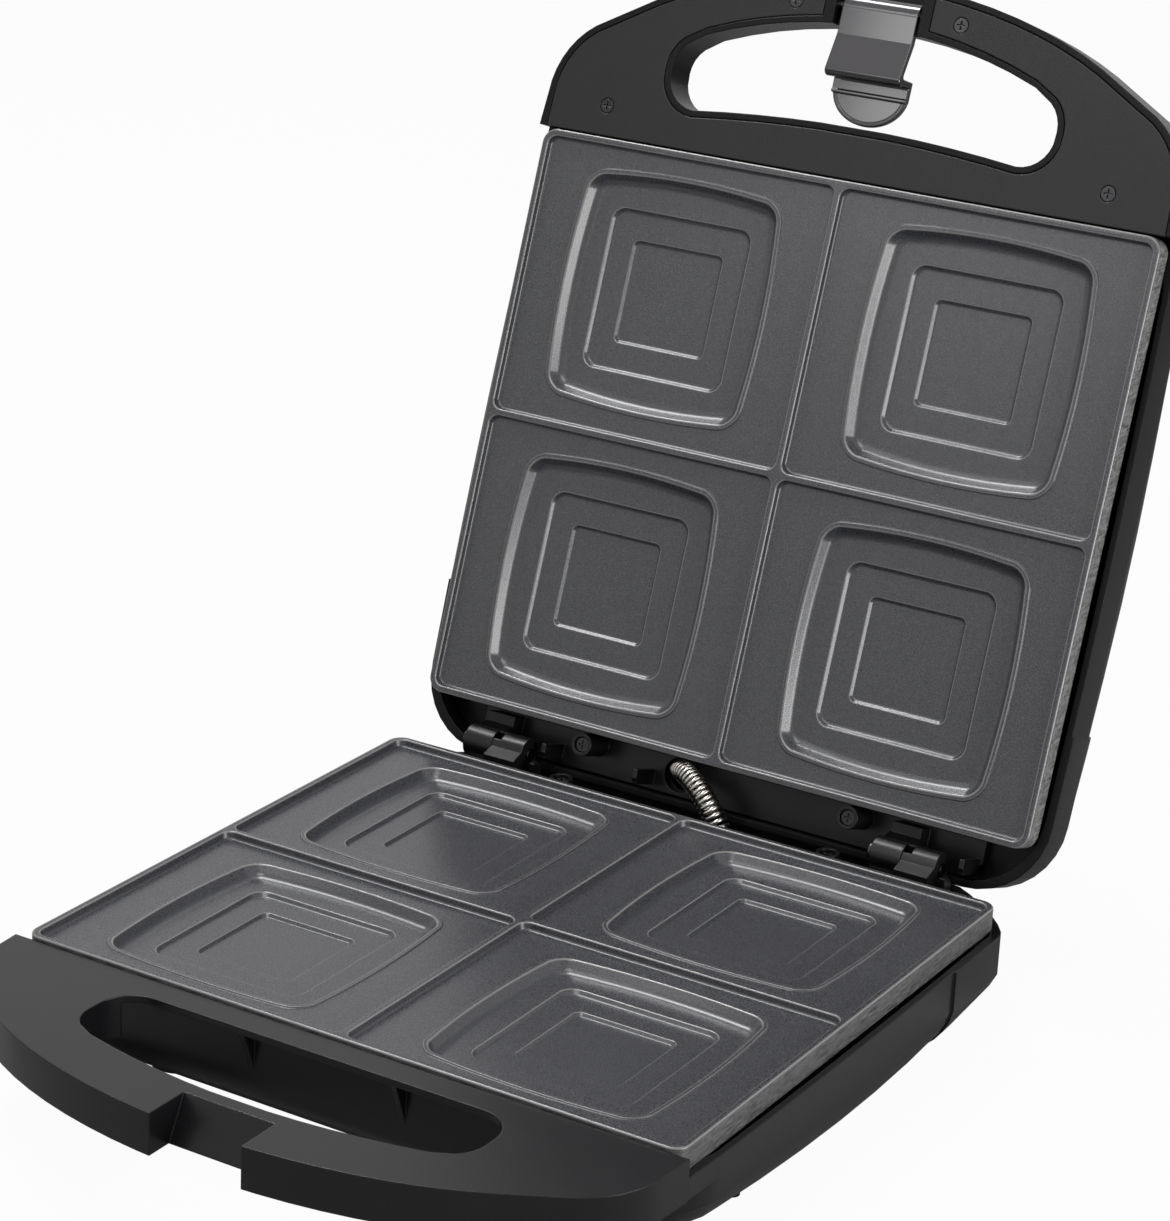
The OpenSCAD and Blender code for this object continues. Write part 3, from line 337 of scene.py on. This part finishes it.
def lens(name, colour):
    f = Finish(name, Transmission_Weight=0.6, IOR=1.49)
    cloud = f.noise(CLOUD)
    f.feed(Base_Color=f.mix(cloud, shaded(colour, 0.7), colour), Roughness=0.08 + 0.05 * cloud)
    f.relief(cloud, 0.00002, 0.0003)
    return f.material


red_lens = lens("red_lens", (0.75, 0.04, 0.03, 1))
green_lens = lens("green_lens", (0.05, 0.62, 0.12, 1))
lamp_glass = lens("lamp_glass", (0.95, 0.72, 0.50, 1))
print("lenses:", [material.name for material in (red_lens, green_lens, lamp_glass)])

# %% [markdown]
# ## Cooking plates
# The packed plates are right in size, but their edges are sharp. A Bevel modifier would give all
# edges one radius, and a casting has a different one at each fold. So each plate is drawn again
# as a skin that is let down loop by loop: every fold of the section gets its own radius, and the
# loops follow the outline of the step they belong to.

# %% Outlines and folds
CORNER_STEPS, SIDE_STEPS, FOLD_STEPS = 10, 8, 5


def outline(half_x, half_y, radius, bow=0.0):
    """Rounded rectangle whose sides bow out between its corners, quarter by quarter."""
    u, v = half_x - bow, half_y - bow
    points = []
    for quarter, (c, s) in enumerate([(1, 0), (0, 1), (-1, 0), (0, -1)]):
        ex, ey = (v - radius, u - radius) if quarter % 2 else (u - radius, v - radius)
        turns = [math.pi / 2 * i / CORNER_STEPS for i in range(CORNER_STEPS + 1)]
        spots = [(ex + radius * math.cos(a), ey + radius * math.sin(a)) for a in turns]
        spots += [(ex * (1 - 2 * i / SIDE_STEPS), ey + radius) for i in range(1, SIDE_STEPS)]
        for x, y in [(x * c - y * s, x * s + y * c) for x, y in spots]:
            points.append((x * (1 + bow / u * (1 - (y / v) ** 2)),
                           y * (1 + bow / v * (1 - (x / u) ** 2))))
    return points


def folded(path, inward=1):
    """Section with a fillet at each fold: (grow, z, radius) in, (grow, z, wear and painted light) out."""
    section = [(*path[0][:2], 0.0)]
    for before, (grow, z, radius), after in zip(path, path[1:], path[2:]):
        fold = Vector((grow, z))
        back = (Vector(before[:2]) - fold).normalized()
        on = (Vector(after[:2]) - fold).normalized()
        half = back.angle(on) / 2
        reach = radius / math.tan(half)
        centre = fold + (back + on).normalized() * (radius / math.sin(half))
        start, end = fold + back * reach - centre, fold + on * reach - centre
        ridge = inward * math.copysign(1.0, on.x * back.y - on.y * back.x)
        for i in range(FOLD_STEPS + 1):
            spot = centre + radius * start.slerp(end, i / FOLD_STEPS).normalized()
            # The mark rises and falls along each fold, signed by the way it turns; positive folds are
            # painted lighter
            section.append((*spot, ridge * math.sin(math.pi * i / FOLD_STEPS)))
    section.append((*path[-1][:2], 0.0))
    return section


print("points in one loop:", len(outline(10, 10, 2)))

# %% [markdown]
# The skin starts from a circle whose points are moved onto the outline. Each next loop is
# extruded from the last one, so the faces between them come from the operator. A float layer
# travels with the points and is what the finishes read: real wear and painted highlight on the
# plates' folds, painted shade on the latch.

# %% Loops
def first_loop(bm, points, z):
    circle = bmesh.ops.create_circle(bm, segments=len(points), radius=1.0)["verts"]
    for vert, (x, y) in zip(circle, points):
        vert.co = (x, y, z)
    return circle


def loop_edges(bm, loop):
    return [bm.edges.get(pair) for pair in zip(loop, loop[1:] + loop[:1])]


def next_loop(bm, loop, points, z, wear_and_painted_light=0.0):
    worn_and_painted = bm.verts.layers.float["wear_and_painted_light"]
    made = bmesh.ops.extrude_edge_only(bm, edges=loop_edges(bm, loop))["geom"]
    fresh = {item for item in made if isinstance(item, bmesh.types.BMVert)}
    loop = [next(e.other_vert(v) for e in v.link_edges if e.other_vert(v) in fresh) for v in loop]
    for vert, (x, y) in zip(loop, points):
        vert.co, vert[worn_and_painted] = (x, y, z), wear_and_painted_light
    return loop


def tube(bm, x, y, sides, section):
    """Rings of the section's (radius, z) round one centre, and the last bridged to the first."""
    turns = [math.tau * i / sides for i in range(sides)]
    first = loop = None
    for radius, z in section:
        points = [(x + radius * math.cos(a), y + radius * math.sin(a)) for a in turns]
        loop = next_loop(bm, loop, points, z) if loop else first_loop(bm, points, z)
        first = first or loop
    bmesh.ops.bridge_loops(bm, edges=loop_edges(bm, first) + loop_edges(bm, loop))


def worn_and_painted_bmesh():
    bm = bmesh.new()
    bm.verts.layers.float.new("wear_and_painted_light")
    return bm


bm = worn_and_painted_bmesh()
tube(bm, 0, 0, 32, [(2, 0), (2, 1), (1, 1), (1, 0)])
print("faces of a trial tube:", len(bm.faces))
bm.free()

# %% [markdown]
# Each new piece ends in the same way. Its normals are turned outwards and it is shaded smooth,
# but for the edges that are steeper than an angle. Auto-smoothing by hand in the editor does the
# same, and as a function it is sure to be done to every piece. The object stays at the origin,
# with its place in its mesh, as the packed nodes have it.

# %% From a bmesh to a piece
def finished_piece(bm, name, materials, sharp_from=None):
    bmesh.ops.recalc_face_normals(bm, faces=bm.faces)
    for face in bm.faces:
        face.smooth = True
    mesh = bpy.data.meshes.new(name)
    bm.to_mesh(mesh)
    bm.free()
    piece = bpy.data.objects.new(name, mesh)
    bpy.context.collection.objects.link(piece)
    if sharp_from:
        mesh.set_sharp_from_angle(angle=math.radians(sharp_from))
        piece.modifiers.new("flat faces stay flat", "WEIGHTED_NORMAL").keep_sharp = True
    for material in materials:
        mesh.materials.append(material)
    print(name, "faces:", len(mesh.polygons))
    return piece


print("pieces so far:", len(nodes))

# %% [markdown]
# A plate has four pockets. In each one the floor carries a low bead, and inside the bead the
# sandwich recess goes down in three levels whose walls slope, as a casting's have to. A shape is
# an outline that can be let out or taken in, and a path says how far at each height.

# %% The plate's shapes and sections
PLATE_W, PLATE_D, PLATE_R = 264.0, 228.4, 6.0
SKIRT, UNDER, WALL = -9.0, -5.5, 2.5                   # lower edge, underside, thickness
LAND, RIM, RIDGE, FLOOR, BEAD = -0.1, 2.6, 2.4, -3.0, -2.4
RECESS, STEP, CORE = -6.6, -8.1, -9.3                  # the three levels
QUARTER_X, QUARTER_Y = PLATE_W / 4, PLATE_D / 4
POCKET_X, POCKET_Y = (PLATE_W / 2 - RIM - RIDGE / 2) / 2, (PLATE_D / 2 - RIM - RIDGE / 2) / 2
LAND_IN, POCKET_OUT, RECESS_IN = -1.8, 0.9, -2.8       # where flat faces end


def shape(half_x, half_y, radius, least, bow=0.0):
    def let_out(grow):
        return outline(half_x + grow, half_y + grow, max(least, radius + grow), bow)
    return let_out


# Half width, half depth, corner radius, and the least that this radius may become
casting = shape(PLATE_W / 2, PLATE_D / 2, PLATE_R, 0.4)
pocket = shape(POCKET_X, POCKET_Y, 4.0, 0.4)
recess = shape(46.2, 47.3, 8.0, 1.0, bow=2.8)
step = shape(30.0, 30.75, 4.5, 0.5)
core = shape(19.0, 19.3, 1.6, 0.3)

OUTER_EDGE = [(-1.5, LAND), (0.0, LAND, 0.8), (0.0, -4.0)]
OUTER_WALL = [(0, SKIRT, 0), (-WALL, SKIRT, 0), (-WALL, UNDER, 0)]
POCKET_EDGE = [(0.8, LAND), (0.0, LAND, 0.7), (-0.5, FLOOR, 1.0), (-2.6, FLOOR)]
INSIDE = [
    (recess, [(0.9, FLOOR), (0.15, FLOOR, 0.4), (-0.15, BEAD, 0.35), (-1.7, BEAD, 1.1),
              (-4.4, RECESS, 3.4), (-7.2, RECESS)]),
    (step, [(2.4, RECESS), (1.3, RECESS, 0.8), (0.0, STEP, 1.4), (-1.2, STEP)]),
    (core, [(2.2, STEP), (1.2, STEP, 0.6), (0.0, CORE, 1.0), (-1.0, CORE)]),
]
UNDERSIDE = [
    (recess, [(RECESS_IN, UNDER), (RECESS_IN, RECESS - WALL)]),
    (step, [(2.0, RECESS - WALL), (2.0, STEP - WALL)]),
    (core, [(2.0, STEP - WALL), (2.0, CORE - WALL)]),
]
print("a pocket is", round(2 * POCKET_X, 1), "x", round(2 * POCKET_Y, 1), "mm")

# %% [markdown]
# The land between the four pockets, and the underside between the recesses, are flat faces with
# holes. Triangle Fill makes such a face from the edges round it, so nothing is cut out of
# anything, and no Boolean is needed.

# %% One plate's skin
def moved(points, x, y):
    return [(px + x, py + y) for px, py in points]


def follow(bm, loop, outline_at, section, x=0.0, y=0.0):
    for grow, z, wear_and_painted_light in section:
        loop = next_loop(bm, loop, moved(outline_at(grow), x, y), z, wear_and_painted_light)
    return loop


def let_down(bm, loop, levels, x, y):
    for outline_at, path in levels:
        loop = follow(bm, loop, outline_at, folded(path), x, y)
    bm.faces.new(loop)


def plate_skin(bm):
    rim = first_loop(bm, casting(LAND_IN), LAND)
    land = loop_edges(bm, rim)
    rim = follow(bm, rim, casting, folded(OUTER_EDGE, -1) + OUTER_WALL)
    below = loop_edges(bm, rim)
    for side_x, side_y in ((-1, -1), (-1, 1), (1, -1), (1, 1)):
        px, py = side_x * (POCKET_X + RIDGE / 2), side_y * (POCKET_Y + RIDGE / 2)
        qx, qy = side_x * QUARTER_X, side_y * QUARTER_Y
        loop = first_loop(bm, moved(pocket(POCKET_OUT), px, py), LAND)
        land += loop_edges(bm, loop)
        loop = follow(bm, loop, pocket, folded(POCKET_EDGE), px, py)
        let_down(bm, loop, INSIDE, qx, qy)
        loop = first_loop(bm, moved(recess(RECESS_IN), qx, qy), UNDER)
        below += loop_edges(bm, loop)
        let_down(bm, loop, UNDERSIDE, qx, qy)
    for edges in (land, below):
        bmesh.ops.triangle_fill(bm, edges=edges, use_beauty=True, normal=(0, 0, 1))


print("loops in a pocket's section:", sum(len(folded(path)) for _, path in INSIDE))

# %% [markdown]
# Posts are cast below the plate for its screws. They don't show, but they are what the bars,
# clips and housings hold on to, so they are kept as short tubes that end just under the skin.

# %% The posts, and the two plates
BORE, POST_TOP = 1.5, UNDER - 0.02
# x, y, radius and lower end of each post: three under the bar, two at the clip, four at the corners
POSTS = ([(x, 0, 4.0, -15.5) for x in (-QUARTER_X, 0, QUARTER_X)]
         + [(x, QUARTER_Y, 3.0, -8.0) for x in (-13, 13)]
         + [(x, y, 4.5, -19.9) for x in (-122, 122) for y in (-104.2, 104.2)])
TRIMMED_BEYOND, TRIMMED_BELOW = 4.9, -0.8              # where the trimming tool went


def is_flank(face):
    x, y, z = face.calc_center_median()
    past = max(abs(x) - PLATE_W / 2 + PLATE_R, 0), max(abs(y) - PLATE_D / 2 + PLATE_R, 0)
    return math.hypot(*past) > TRIMMED_BEYOND and SKIRT < z < TRIMMED_BELOW


def plate(name, place, flank_finish):
    bm = worn_and_painted_bmesh()
    plate_skin(bm)
    for face in bm.faces:
        face.material_index = int(is_flank(face))
    for x, y, radius, low in POSTS:
        tube(bm, x, y, 32, [(radius, POST_TOP), (radius, low), (BORE, low), (BORE, POST_TOP)])
    bmesh.ops.remove_doubles(bm, verts=bm.verts, dist=0.0005)
    bmesh.ops.transform(bm, matrix=place, verts=bm.verts)
    return finished_piece(bm, name, [plate_coating, flank_finish], sharp_from=50)


for body, place in (("base", to_scene), ("lid", lid_to_scene @ upside_down)):
    piece = plate(body + "_plate_cast", place, plate_flanks[body])
    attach(piece, body)
    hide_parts(body + "_plate")

# %% [markdown]
# ## Conduit spring
# The wires cross to the lid inside a close-wound spring. A Screw modifier could wind it and a
# Curve modifier could bend it, but both would stay live on a piece that moves with the lid. So it
# is wound straight with the spin operator, and then every point is carried onto the conduit's
# own curve.

# %% Wind the spring and bend it
HALF_WIRE, SPRING_R, TURNS, STRAIGHT = 0.6, 4.05, 27, 50.0
STEPS = TURNS * 20
SPARE = 0.02                        # share of the curve left free at either end
ROUTE = [Vector((14, 123.0, -20.5)), Vector((9, 127.0, 4)), Vector((-19, 132.0, 15)),
         Vector((-21, *(swing @ Vector((0, 123.0, 20.5)))[1:]))]


def along(t):
    s = 1 - t
    return s ** 3 * ROUTE[0] + 3 * s * s * t * ROUTE[1] + 3 * s * t * t * ROUTE[2] + t ** 3 * ROUTE[3]


bm = bmesh.new()
upright = Matrix.Translation((SPRING_R, 0, 0)) @ Matrix.Rotation(math.pi / 2, 4, "X")
wire = bmesh.ops.create_circle(bm, segments=8, radius=HALF_WIRE, matrix=upright)
bmesh.ops.contextual_create(bm, geom=wire["verts"])
bmesh.ops.spin(bm, geom=bm.verts[:] + bm.edges[:] + bm.faces[:], cent=(0, 0, 0), axis=(0, 0, 1),
               dvec=(0, 0, STRAIGHT / STEPS), angle=math.tau * TURNS, steps=STEPS)
print("spring before bending:", round(max(v.co.z for v in bm.verts), 1), "mm tall")
for vert in bm.verts:
    t = SPARE + (1 - 2 * SPARE) * vert.co.z / STRAIGHT
    forward = (along(t + 0.01) - along(t - 0.01)).normalized()
    side = Vector((1, 0.2, 0)).cross(forward).normalized()
    vert.co = to_scene @ (along(t) + vert.co.x * side + vert.co.y * forward.cross(side))
spring = finished_piece(bm, "conduit_spring", [spring_steel])
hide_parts("wiring_conduit")
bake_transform(spring, "base", "lid", start=tuple(to_scene @ ROUTE[0]), end=tuple(to_scene @ ROUTE[3]))

# %% [markdown]
# ## Latch
# The latch is one moulding: a barrel on the pin, a cranked arm whose lip is rounded over, a deep
# hollow behind the lip for the bar, and a half-round tab with a fine groove for the fingertip.
# It could be joined with Booleans, but its parts only need to meet as the moulding's do, so each
# is made by itself with the operators that fit it and the three are put in one mesh.

# %% Barrel, arm and tab
LATCH_HALF, PIN_Y, PIN_Z = 16.0, -180.0, 7.7
PIN_BORE, BARREL_R, EASE = 1.55, 4.5, 0.3
TAB_Y, TAB_HALF, TAB_DEEP, TAB_BACK, TAB_FRONT = -149.3, 15.8, 13.2, 11.5, 9.4
TAB_ROOT = -152.0
TAB_RINGS = [(0.15, 0.25), (0.35, 0.15), (0.7, 0.0), (0.15, -0.25), (0.3, 0.0), (0.15, 0.25)]
ARM = [(-180.0, 3.2), (-168.8, 3.2, 0.6), (-152.7, -1.5, 2.3), (-152.3, 2.7, 0.7), (-153.1, 3.6, 0.5),
       (-153.0, 8.7, 0.6), (-148.7, 8.8, 0.3), (-148.3, 8.2, 0.3), (-147.3, 8.2, 0.4),
       (-147.0, 9.4, 0.3), (-147.0, 11.3, 0.5), (-155.5, 11.5, 0.4), (-155.5, 1.9, 1.2),
       (-168.8, 5.7, 0.8), (-180.0, 5.7)]


def barrel(bm):
    end = LATCH_HALF
    tube(bm, PIN_Y, PIN_Z, 48, [(PIN_BORE, -end), (BARREL_R - EASE, -end), (BARREL_R, EASE - end),
                                (BARREL_R, end - EASE), (BARREL_R - EASE, end), (PIN_BORE, end)])


def thickened(bm, sheet, way):
    """Give a flat face its thickness, and return its fellow on the far side."""
    grown = bmesh.ops.extrude_face_region(bm, geom=[sheet], use_keep_orig=True)["geom"]
    far = [item for item in grown if isinstance(item, bmesh.types.BMFace)]
    bmesh.ops.translate(bm, verts=far[0].verts, vec=way)
    bmesh.ops.recalc_face_normals(bm, faces=bm.faces)
    return far


def arm(bm):
    side = [(y, z) for y, z, _ in folded(ARM)]
    sheet = bm.faces.new(first_loop(bm, side, EASE - LATCH_HALF))
    far = thickened(bm, sheet, (0, 0, 2 * (LATCH_HALF - EASE)))
    bmesh.ops.inset_region(bm, faces=[sheet] + far, thickness=EASE, depth=EASE, use_even_offset=True)


def tab(bm):
    turns = [math.pi * i / 40 for i in range(41)]
    half_disc = [(TAB_Y + TAB_DEEP * math.sin(a), TAB_HALF * math.cos(a)) for a in turns]
    back = bm.faces.new(first_loop(bm, [(TAB_ROOT, TAB_HALF), *half_disc, (TAB_ROOT, -TAB_HALF)], 0))
    for vert in back.verts:
        vert.co = (vert.co.x, TAB_BACK, vert.co.y)
    front = thickened(bm, back, (0, TAB_FRONT - TAB_BACK + 0.4, 0))
    for thickness, depth in TAB_RINGS:
        bmesh.ops.inset_region(bm, faces=front, thickness=thickness, depth=depth, use_even_offset=True)


print("points round the arm:", len(folded(ARM)))

# %% [markdown]
# The hollow and the underside of the lip get painted shade. They are marked on the mesh with
# negative values, which the latch's plastic turns dark.

# %% Put the latch together
SHADED_HOLLOW_Y, SHADED_HOLLOW_Z = (-153.4, -148.4), (3.4, 9.0)
SHADED_LIP_Y, SHADED_LIP_Z = -154.6, 3.2


# How dark the painted shade is: full in the hollow, less under the lip, none elsewhere
def painted_shade(y, z):
    if SHADED_HOLLOW_Y[0] < y < SHADED_HOLLOW_Y[1] and SHADED_HOLLOW_Z[0] < z < SHADED_HOLLOW_Z[1]:
        return -1.0
    return -0.7 if y > SHADED_LIP_Y and z < SHADED_LIP_Z else 0.0


bm = worn_and_painted_bmesh()
for part in (barrel, arm, tab):
    fresh = worn_and_painted_bmesh()
    part(fresh)
    held = bpy.data.meshes.new("held")
    fresh.to_mesh(held)
    fresh.free()
    bm.from_mesh(held)
    bpy.data.meshes.remove(held)
worn_and_painted = bm.verts.layers.float["wear_and_painted_light"]
for vert in bm.verts:
    y, z, x = vert.co
    vert[worn_and_painted] = painted_shade(y, z)
    vert.co = lid_to_scene @ Vector((x, y, z))
latch = finished_piece(bm, "latch_moulding", [latch_plastic], sharp_from=38)
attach(latch, "latch")
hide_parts("latch")

# %% [markdown]
# ## A finish for every packed node
# A node keeps the shape it was packed with and only gets its material. The finishes could be set
# one by one, but as a table it is easy to see which piece has which, and the last line tells if
# one was forgotten.

# %% Give every packed node its finish
finishes = {
    housing_plastic: ["base_housing", "bottom_cover"],
    lid_plastic_shaded: ["lid_housing"],
    cover_plastic: ["handle_cover"],
    rail_plastic_shaded: ["base_hinge_rail", "lid_hinge_rail"],
    latch_plastic: ["latch"],
    rubber: ["feet"],
    plate_coating: ["base_plate", "lid_plate"],
    zinc: ["feet_screws", "base_inner_screws", "lid_inner_screws", "base_plate_screws",
           "lid_plate_screws"],
    blackened: ["bottom_cover_screws", "base_rail_screws", "lid_rail_screws", "handle_cover_screws",
                "hinge_pins"],
    ground_steel: ["latch_pin"],
    spring_steel: ["wiring_conduit"],
    sheathed: ["base_element", "lid_element"],
    rolled_sheet: ["base_element_bar", "lid_element_bar", "base_reflector", "lid_reflector", "fuse_clip"],
    ceramic: ["terminal_block", "thermostat", "thermal_fuse"],
    brass: ["terminal_screws"],
    red_lens: ["power_lens"],
    green_lens: ["ready_lens"],
    lamp_glass: ["neon_lamps"],
}
for material, names in finishes.items():
    for name in names:
        nodes[name].data.materials.clear()
        nodes[name].data.materials.append(material)
undressed = set(nodes) - {name for names in finishes.values() for name in names}
print("nodes without a finish:", sorted(undressed))

# %% [markdown]
# ## Round faces shaded round
# A packed node is loose triangles, which show as facets on a domed shell. Its mesh is left as it
# is, so the cure is a modifier. A small geometry node group joins the triangles and shades them
# smooth, with an edge kept wherever two faces meet steeply, and Weighted Normal keeps the large
# flat faces flat.

# %% Smooth below an angle
def smooth_below(angle):
    group = bpy.data.node_groups.new("smooth below an angle", "GeometryNodeTree")
    for side in ("INPUT", "OUTPUT"):
        group.interface.new_socket("Geometry", in_out=side, socket_type="NodeSocketGeometry")
    net = Net(group)
    fold = net.make("GeometryNodeInputMeshEdgeAngle", out="Unsigned Angle")
    steep = net.make("FunctionNodeCompare", i0=fold, i1=angle)
    joined = net.make("GeometryNodeMergeByDistance", i0=net.make("NodeGroupInput"), Distance=0.000005)
    smooth = net.make("GeometryNodeSetShadeSmooth", {"domain": "FACE"}, i0=joined, Shade_Smooth=True)
    edged = net.make("GeometryNodeSetShadeSmooth", {"domain": "EDGE"}, i0=smooth, Selection=steep,
                     Shade_Smooth=False)
    plug(group, group.nodes.new("NodeGroupOutput").inputs[0], edged)
    return group


rounded = smooth_below(math.radians(28))
for piece in nodes.values():
    piece.modifiers.new("shaded round", "NODES").node_group = rounded
    piece.modifiers.new("flat faces stay flat", "WEIGHTED_NORMAL").keep_sharp = True
shell = nodes["lid_housing"].evaluated_get(bpy.context.evaluated_depsgraph_get()).data
print("lid_housing:", len(nodes["lid_housing"].data.vertices), "corners join to", len(shell.vertices))

# %% [markdown]
# ## Studio
# A catalogue studio has a white sweep of paper. More light would make it white but would wash
# out the black plastic, so the paper is a plain grey that only looks white to the camera, while
# it still takes the toaster's shadow. The world does the same for the surround, which clear
# plastic sees white as well, and gloss a little dimmer.

# %% Floor and surround
PAPER, WHITE, SHADOW_KEPT = 0.4, 1.02, 0.06
AMBIENT, GLOSS_LOSS = 0.22, 0.2

floor_mesh = bpy.data.meshes.new("floor")
bm = bmesh.new()
bmesh.ops.create_grid(bm, x_segments=1, y_segments=1, size=6.0)
bm.to_mesh(floor_mesh)
bm.free()
floor = bpy.data.objects.new("floor", floor_mesh)
bpy.context.collection.objects.link(floor)

paper = Finish("paper", Roughness=0.9, Specular_IOR_Level=0.1, Base_Color=grey(PAPER))
white = paper.make("ShaderNodeEmission", Color=grey(1.0), Strength=WHITE)
seen = paper.make("ShaderNodeLightPath", out="Is Camera Ray")
lit = Wire(paper.tree, paper.shader.outputs[0])
sweep = paper.make("ShaderNodeMixShader", i0=seen * (1 - SHADOW_KEPT), i1=lit, i2=white)
plug(paper.tree, paper.tree.nodes["Material Output"].inputs[0], sweep)
floor.data.materials.append(paper.material)

world = bpy.data.worlds.new("studio")
bpy.context.scene.world = world
world.use_nodes = True
sky = Net(world.node_tree)
camera_ray, gloss_ray, glass_ray = (sky.make("ShaderNodeLightPath", out=f"Is {ray} Ray")
                                    for ray in ("Camera", "Glossy", "Transmission"))
shown = (camera_ray + gloss_ray + glass_ray).clip()
background = sky.tree.nodes["Background"]
background.inputs["Color"].default_value = grey(1.0)
plug(sky.tree, background.inputs["Strength"], AMBIENT + (1 - AMBIENT) * shown - GLOSS_LOSS * gloss_ray)
print("the world lights the toaster at", AMBIENT, "and is seen at 1")

# %% [markdown]
# Soft lamps stand above, at the right and in front. A sun would give hard shadows, and one large
# lamp would leave black plastic without form: it is the lamps' reflections that draw its edges.
# The narrow strip at the left is there for the latch, whose face mirrors it.

# %% Lamps
def softbox(name, place, aim, size, power):
    lamp = bpy.data.lights.new(name, "AREA")
    lamp.shape, lamp.size, lamp.size_y, lamp.energy = "RECTANGLE", *size, power
    holder = bpy.data.objects.new(name, lamp)
    bpy.context.collection.objects.link(holder)
    holder.location = place
    holder.rotation_euler = (Vector(aim) - Vector(place)).to_track_quat("-Z", "Y").to_euler()


# Place and aim in metres, size in metres, power in watts
softbox("above", (-0.75, 0.25, 1.55), (0, 0.1, 0.15), (0.5, 0.5), 15)
softbox("right", (1.18, -0.12, 0.26), (0, 0.15, 0.2), (0.75, 0.42), 9)
softbox("front", (-0.05, -0.6, 1.15), (0, 0.15, 0.25), (0.6, 0.5), 5)
softbox("strip", (-0.64, -1.2, 0.97), (0, 0.2, 0.33), (0.22, 0.3), 0.8)
print("lamps:", {lamp.name: round(lamp.energy, 1) for lamp in bpy.data.lights})

# %% [markdown]
# ## Camera
# The camera stands in front, to the right and above, with a long lens, as a catalogue's would.
# It could be aimed with a Track To constraint, but its three axes also hold its slight roll.

# %% Camera
FOCAL, SENSOR = 107.53, 36.0
CAMERA_AT = (615.9, -1000.8, 550.8)
RIGHT = Vector((0.85007961, 0.52488027, 0.04318978))
DOWN = Vector((0.21655663, -0.27361546, -0.93714343))
AHEAD = Vector((-0.4800707, 0.80599956, -0.34626122))

camera_data = bpy.data.cameras.new("camera")
camera_data.lens, camera_data.sensor_width, camera_data.sensor_fit = FOCAL, SENSOR, "AUTO"
camera_data.clip_start = 0.01
camera = bpy.data.objects.new("camera", camera_data)
bpy.context.collection.objects.link(camera)
turn = Matrix((RIGHT, -DOWN, -AHEAD)).transposed().to_4x4()
camera.matrix_world = Matrix.Translation(to_scene @ Vector(CAMERA_AT)) @ turn
bpy.context.scene.camera = camera
bpy.context.scene.view_settings.view_transform = "Standard"
print("camera at", [round(c, 3) for c in camera.matrix_world.translation], "m")

# %% [markdown]
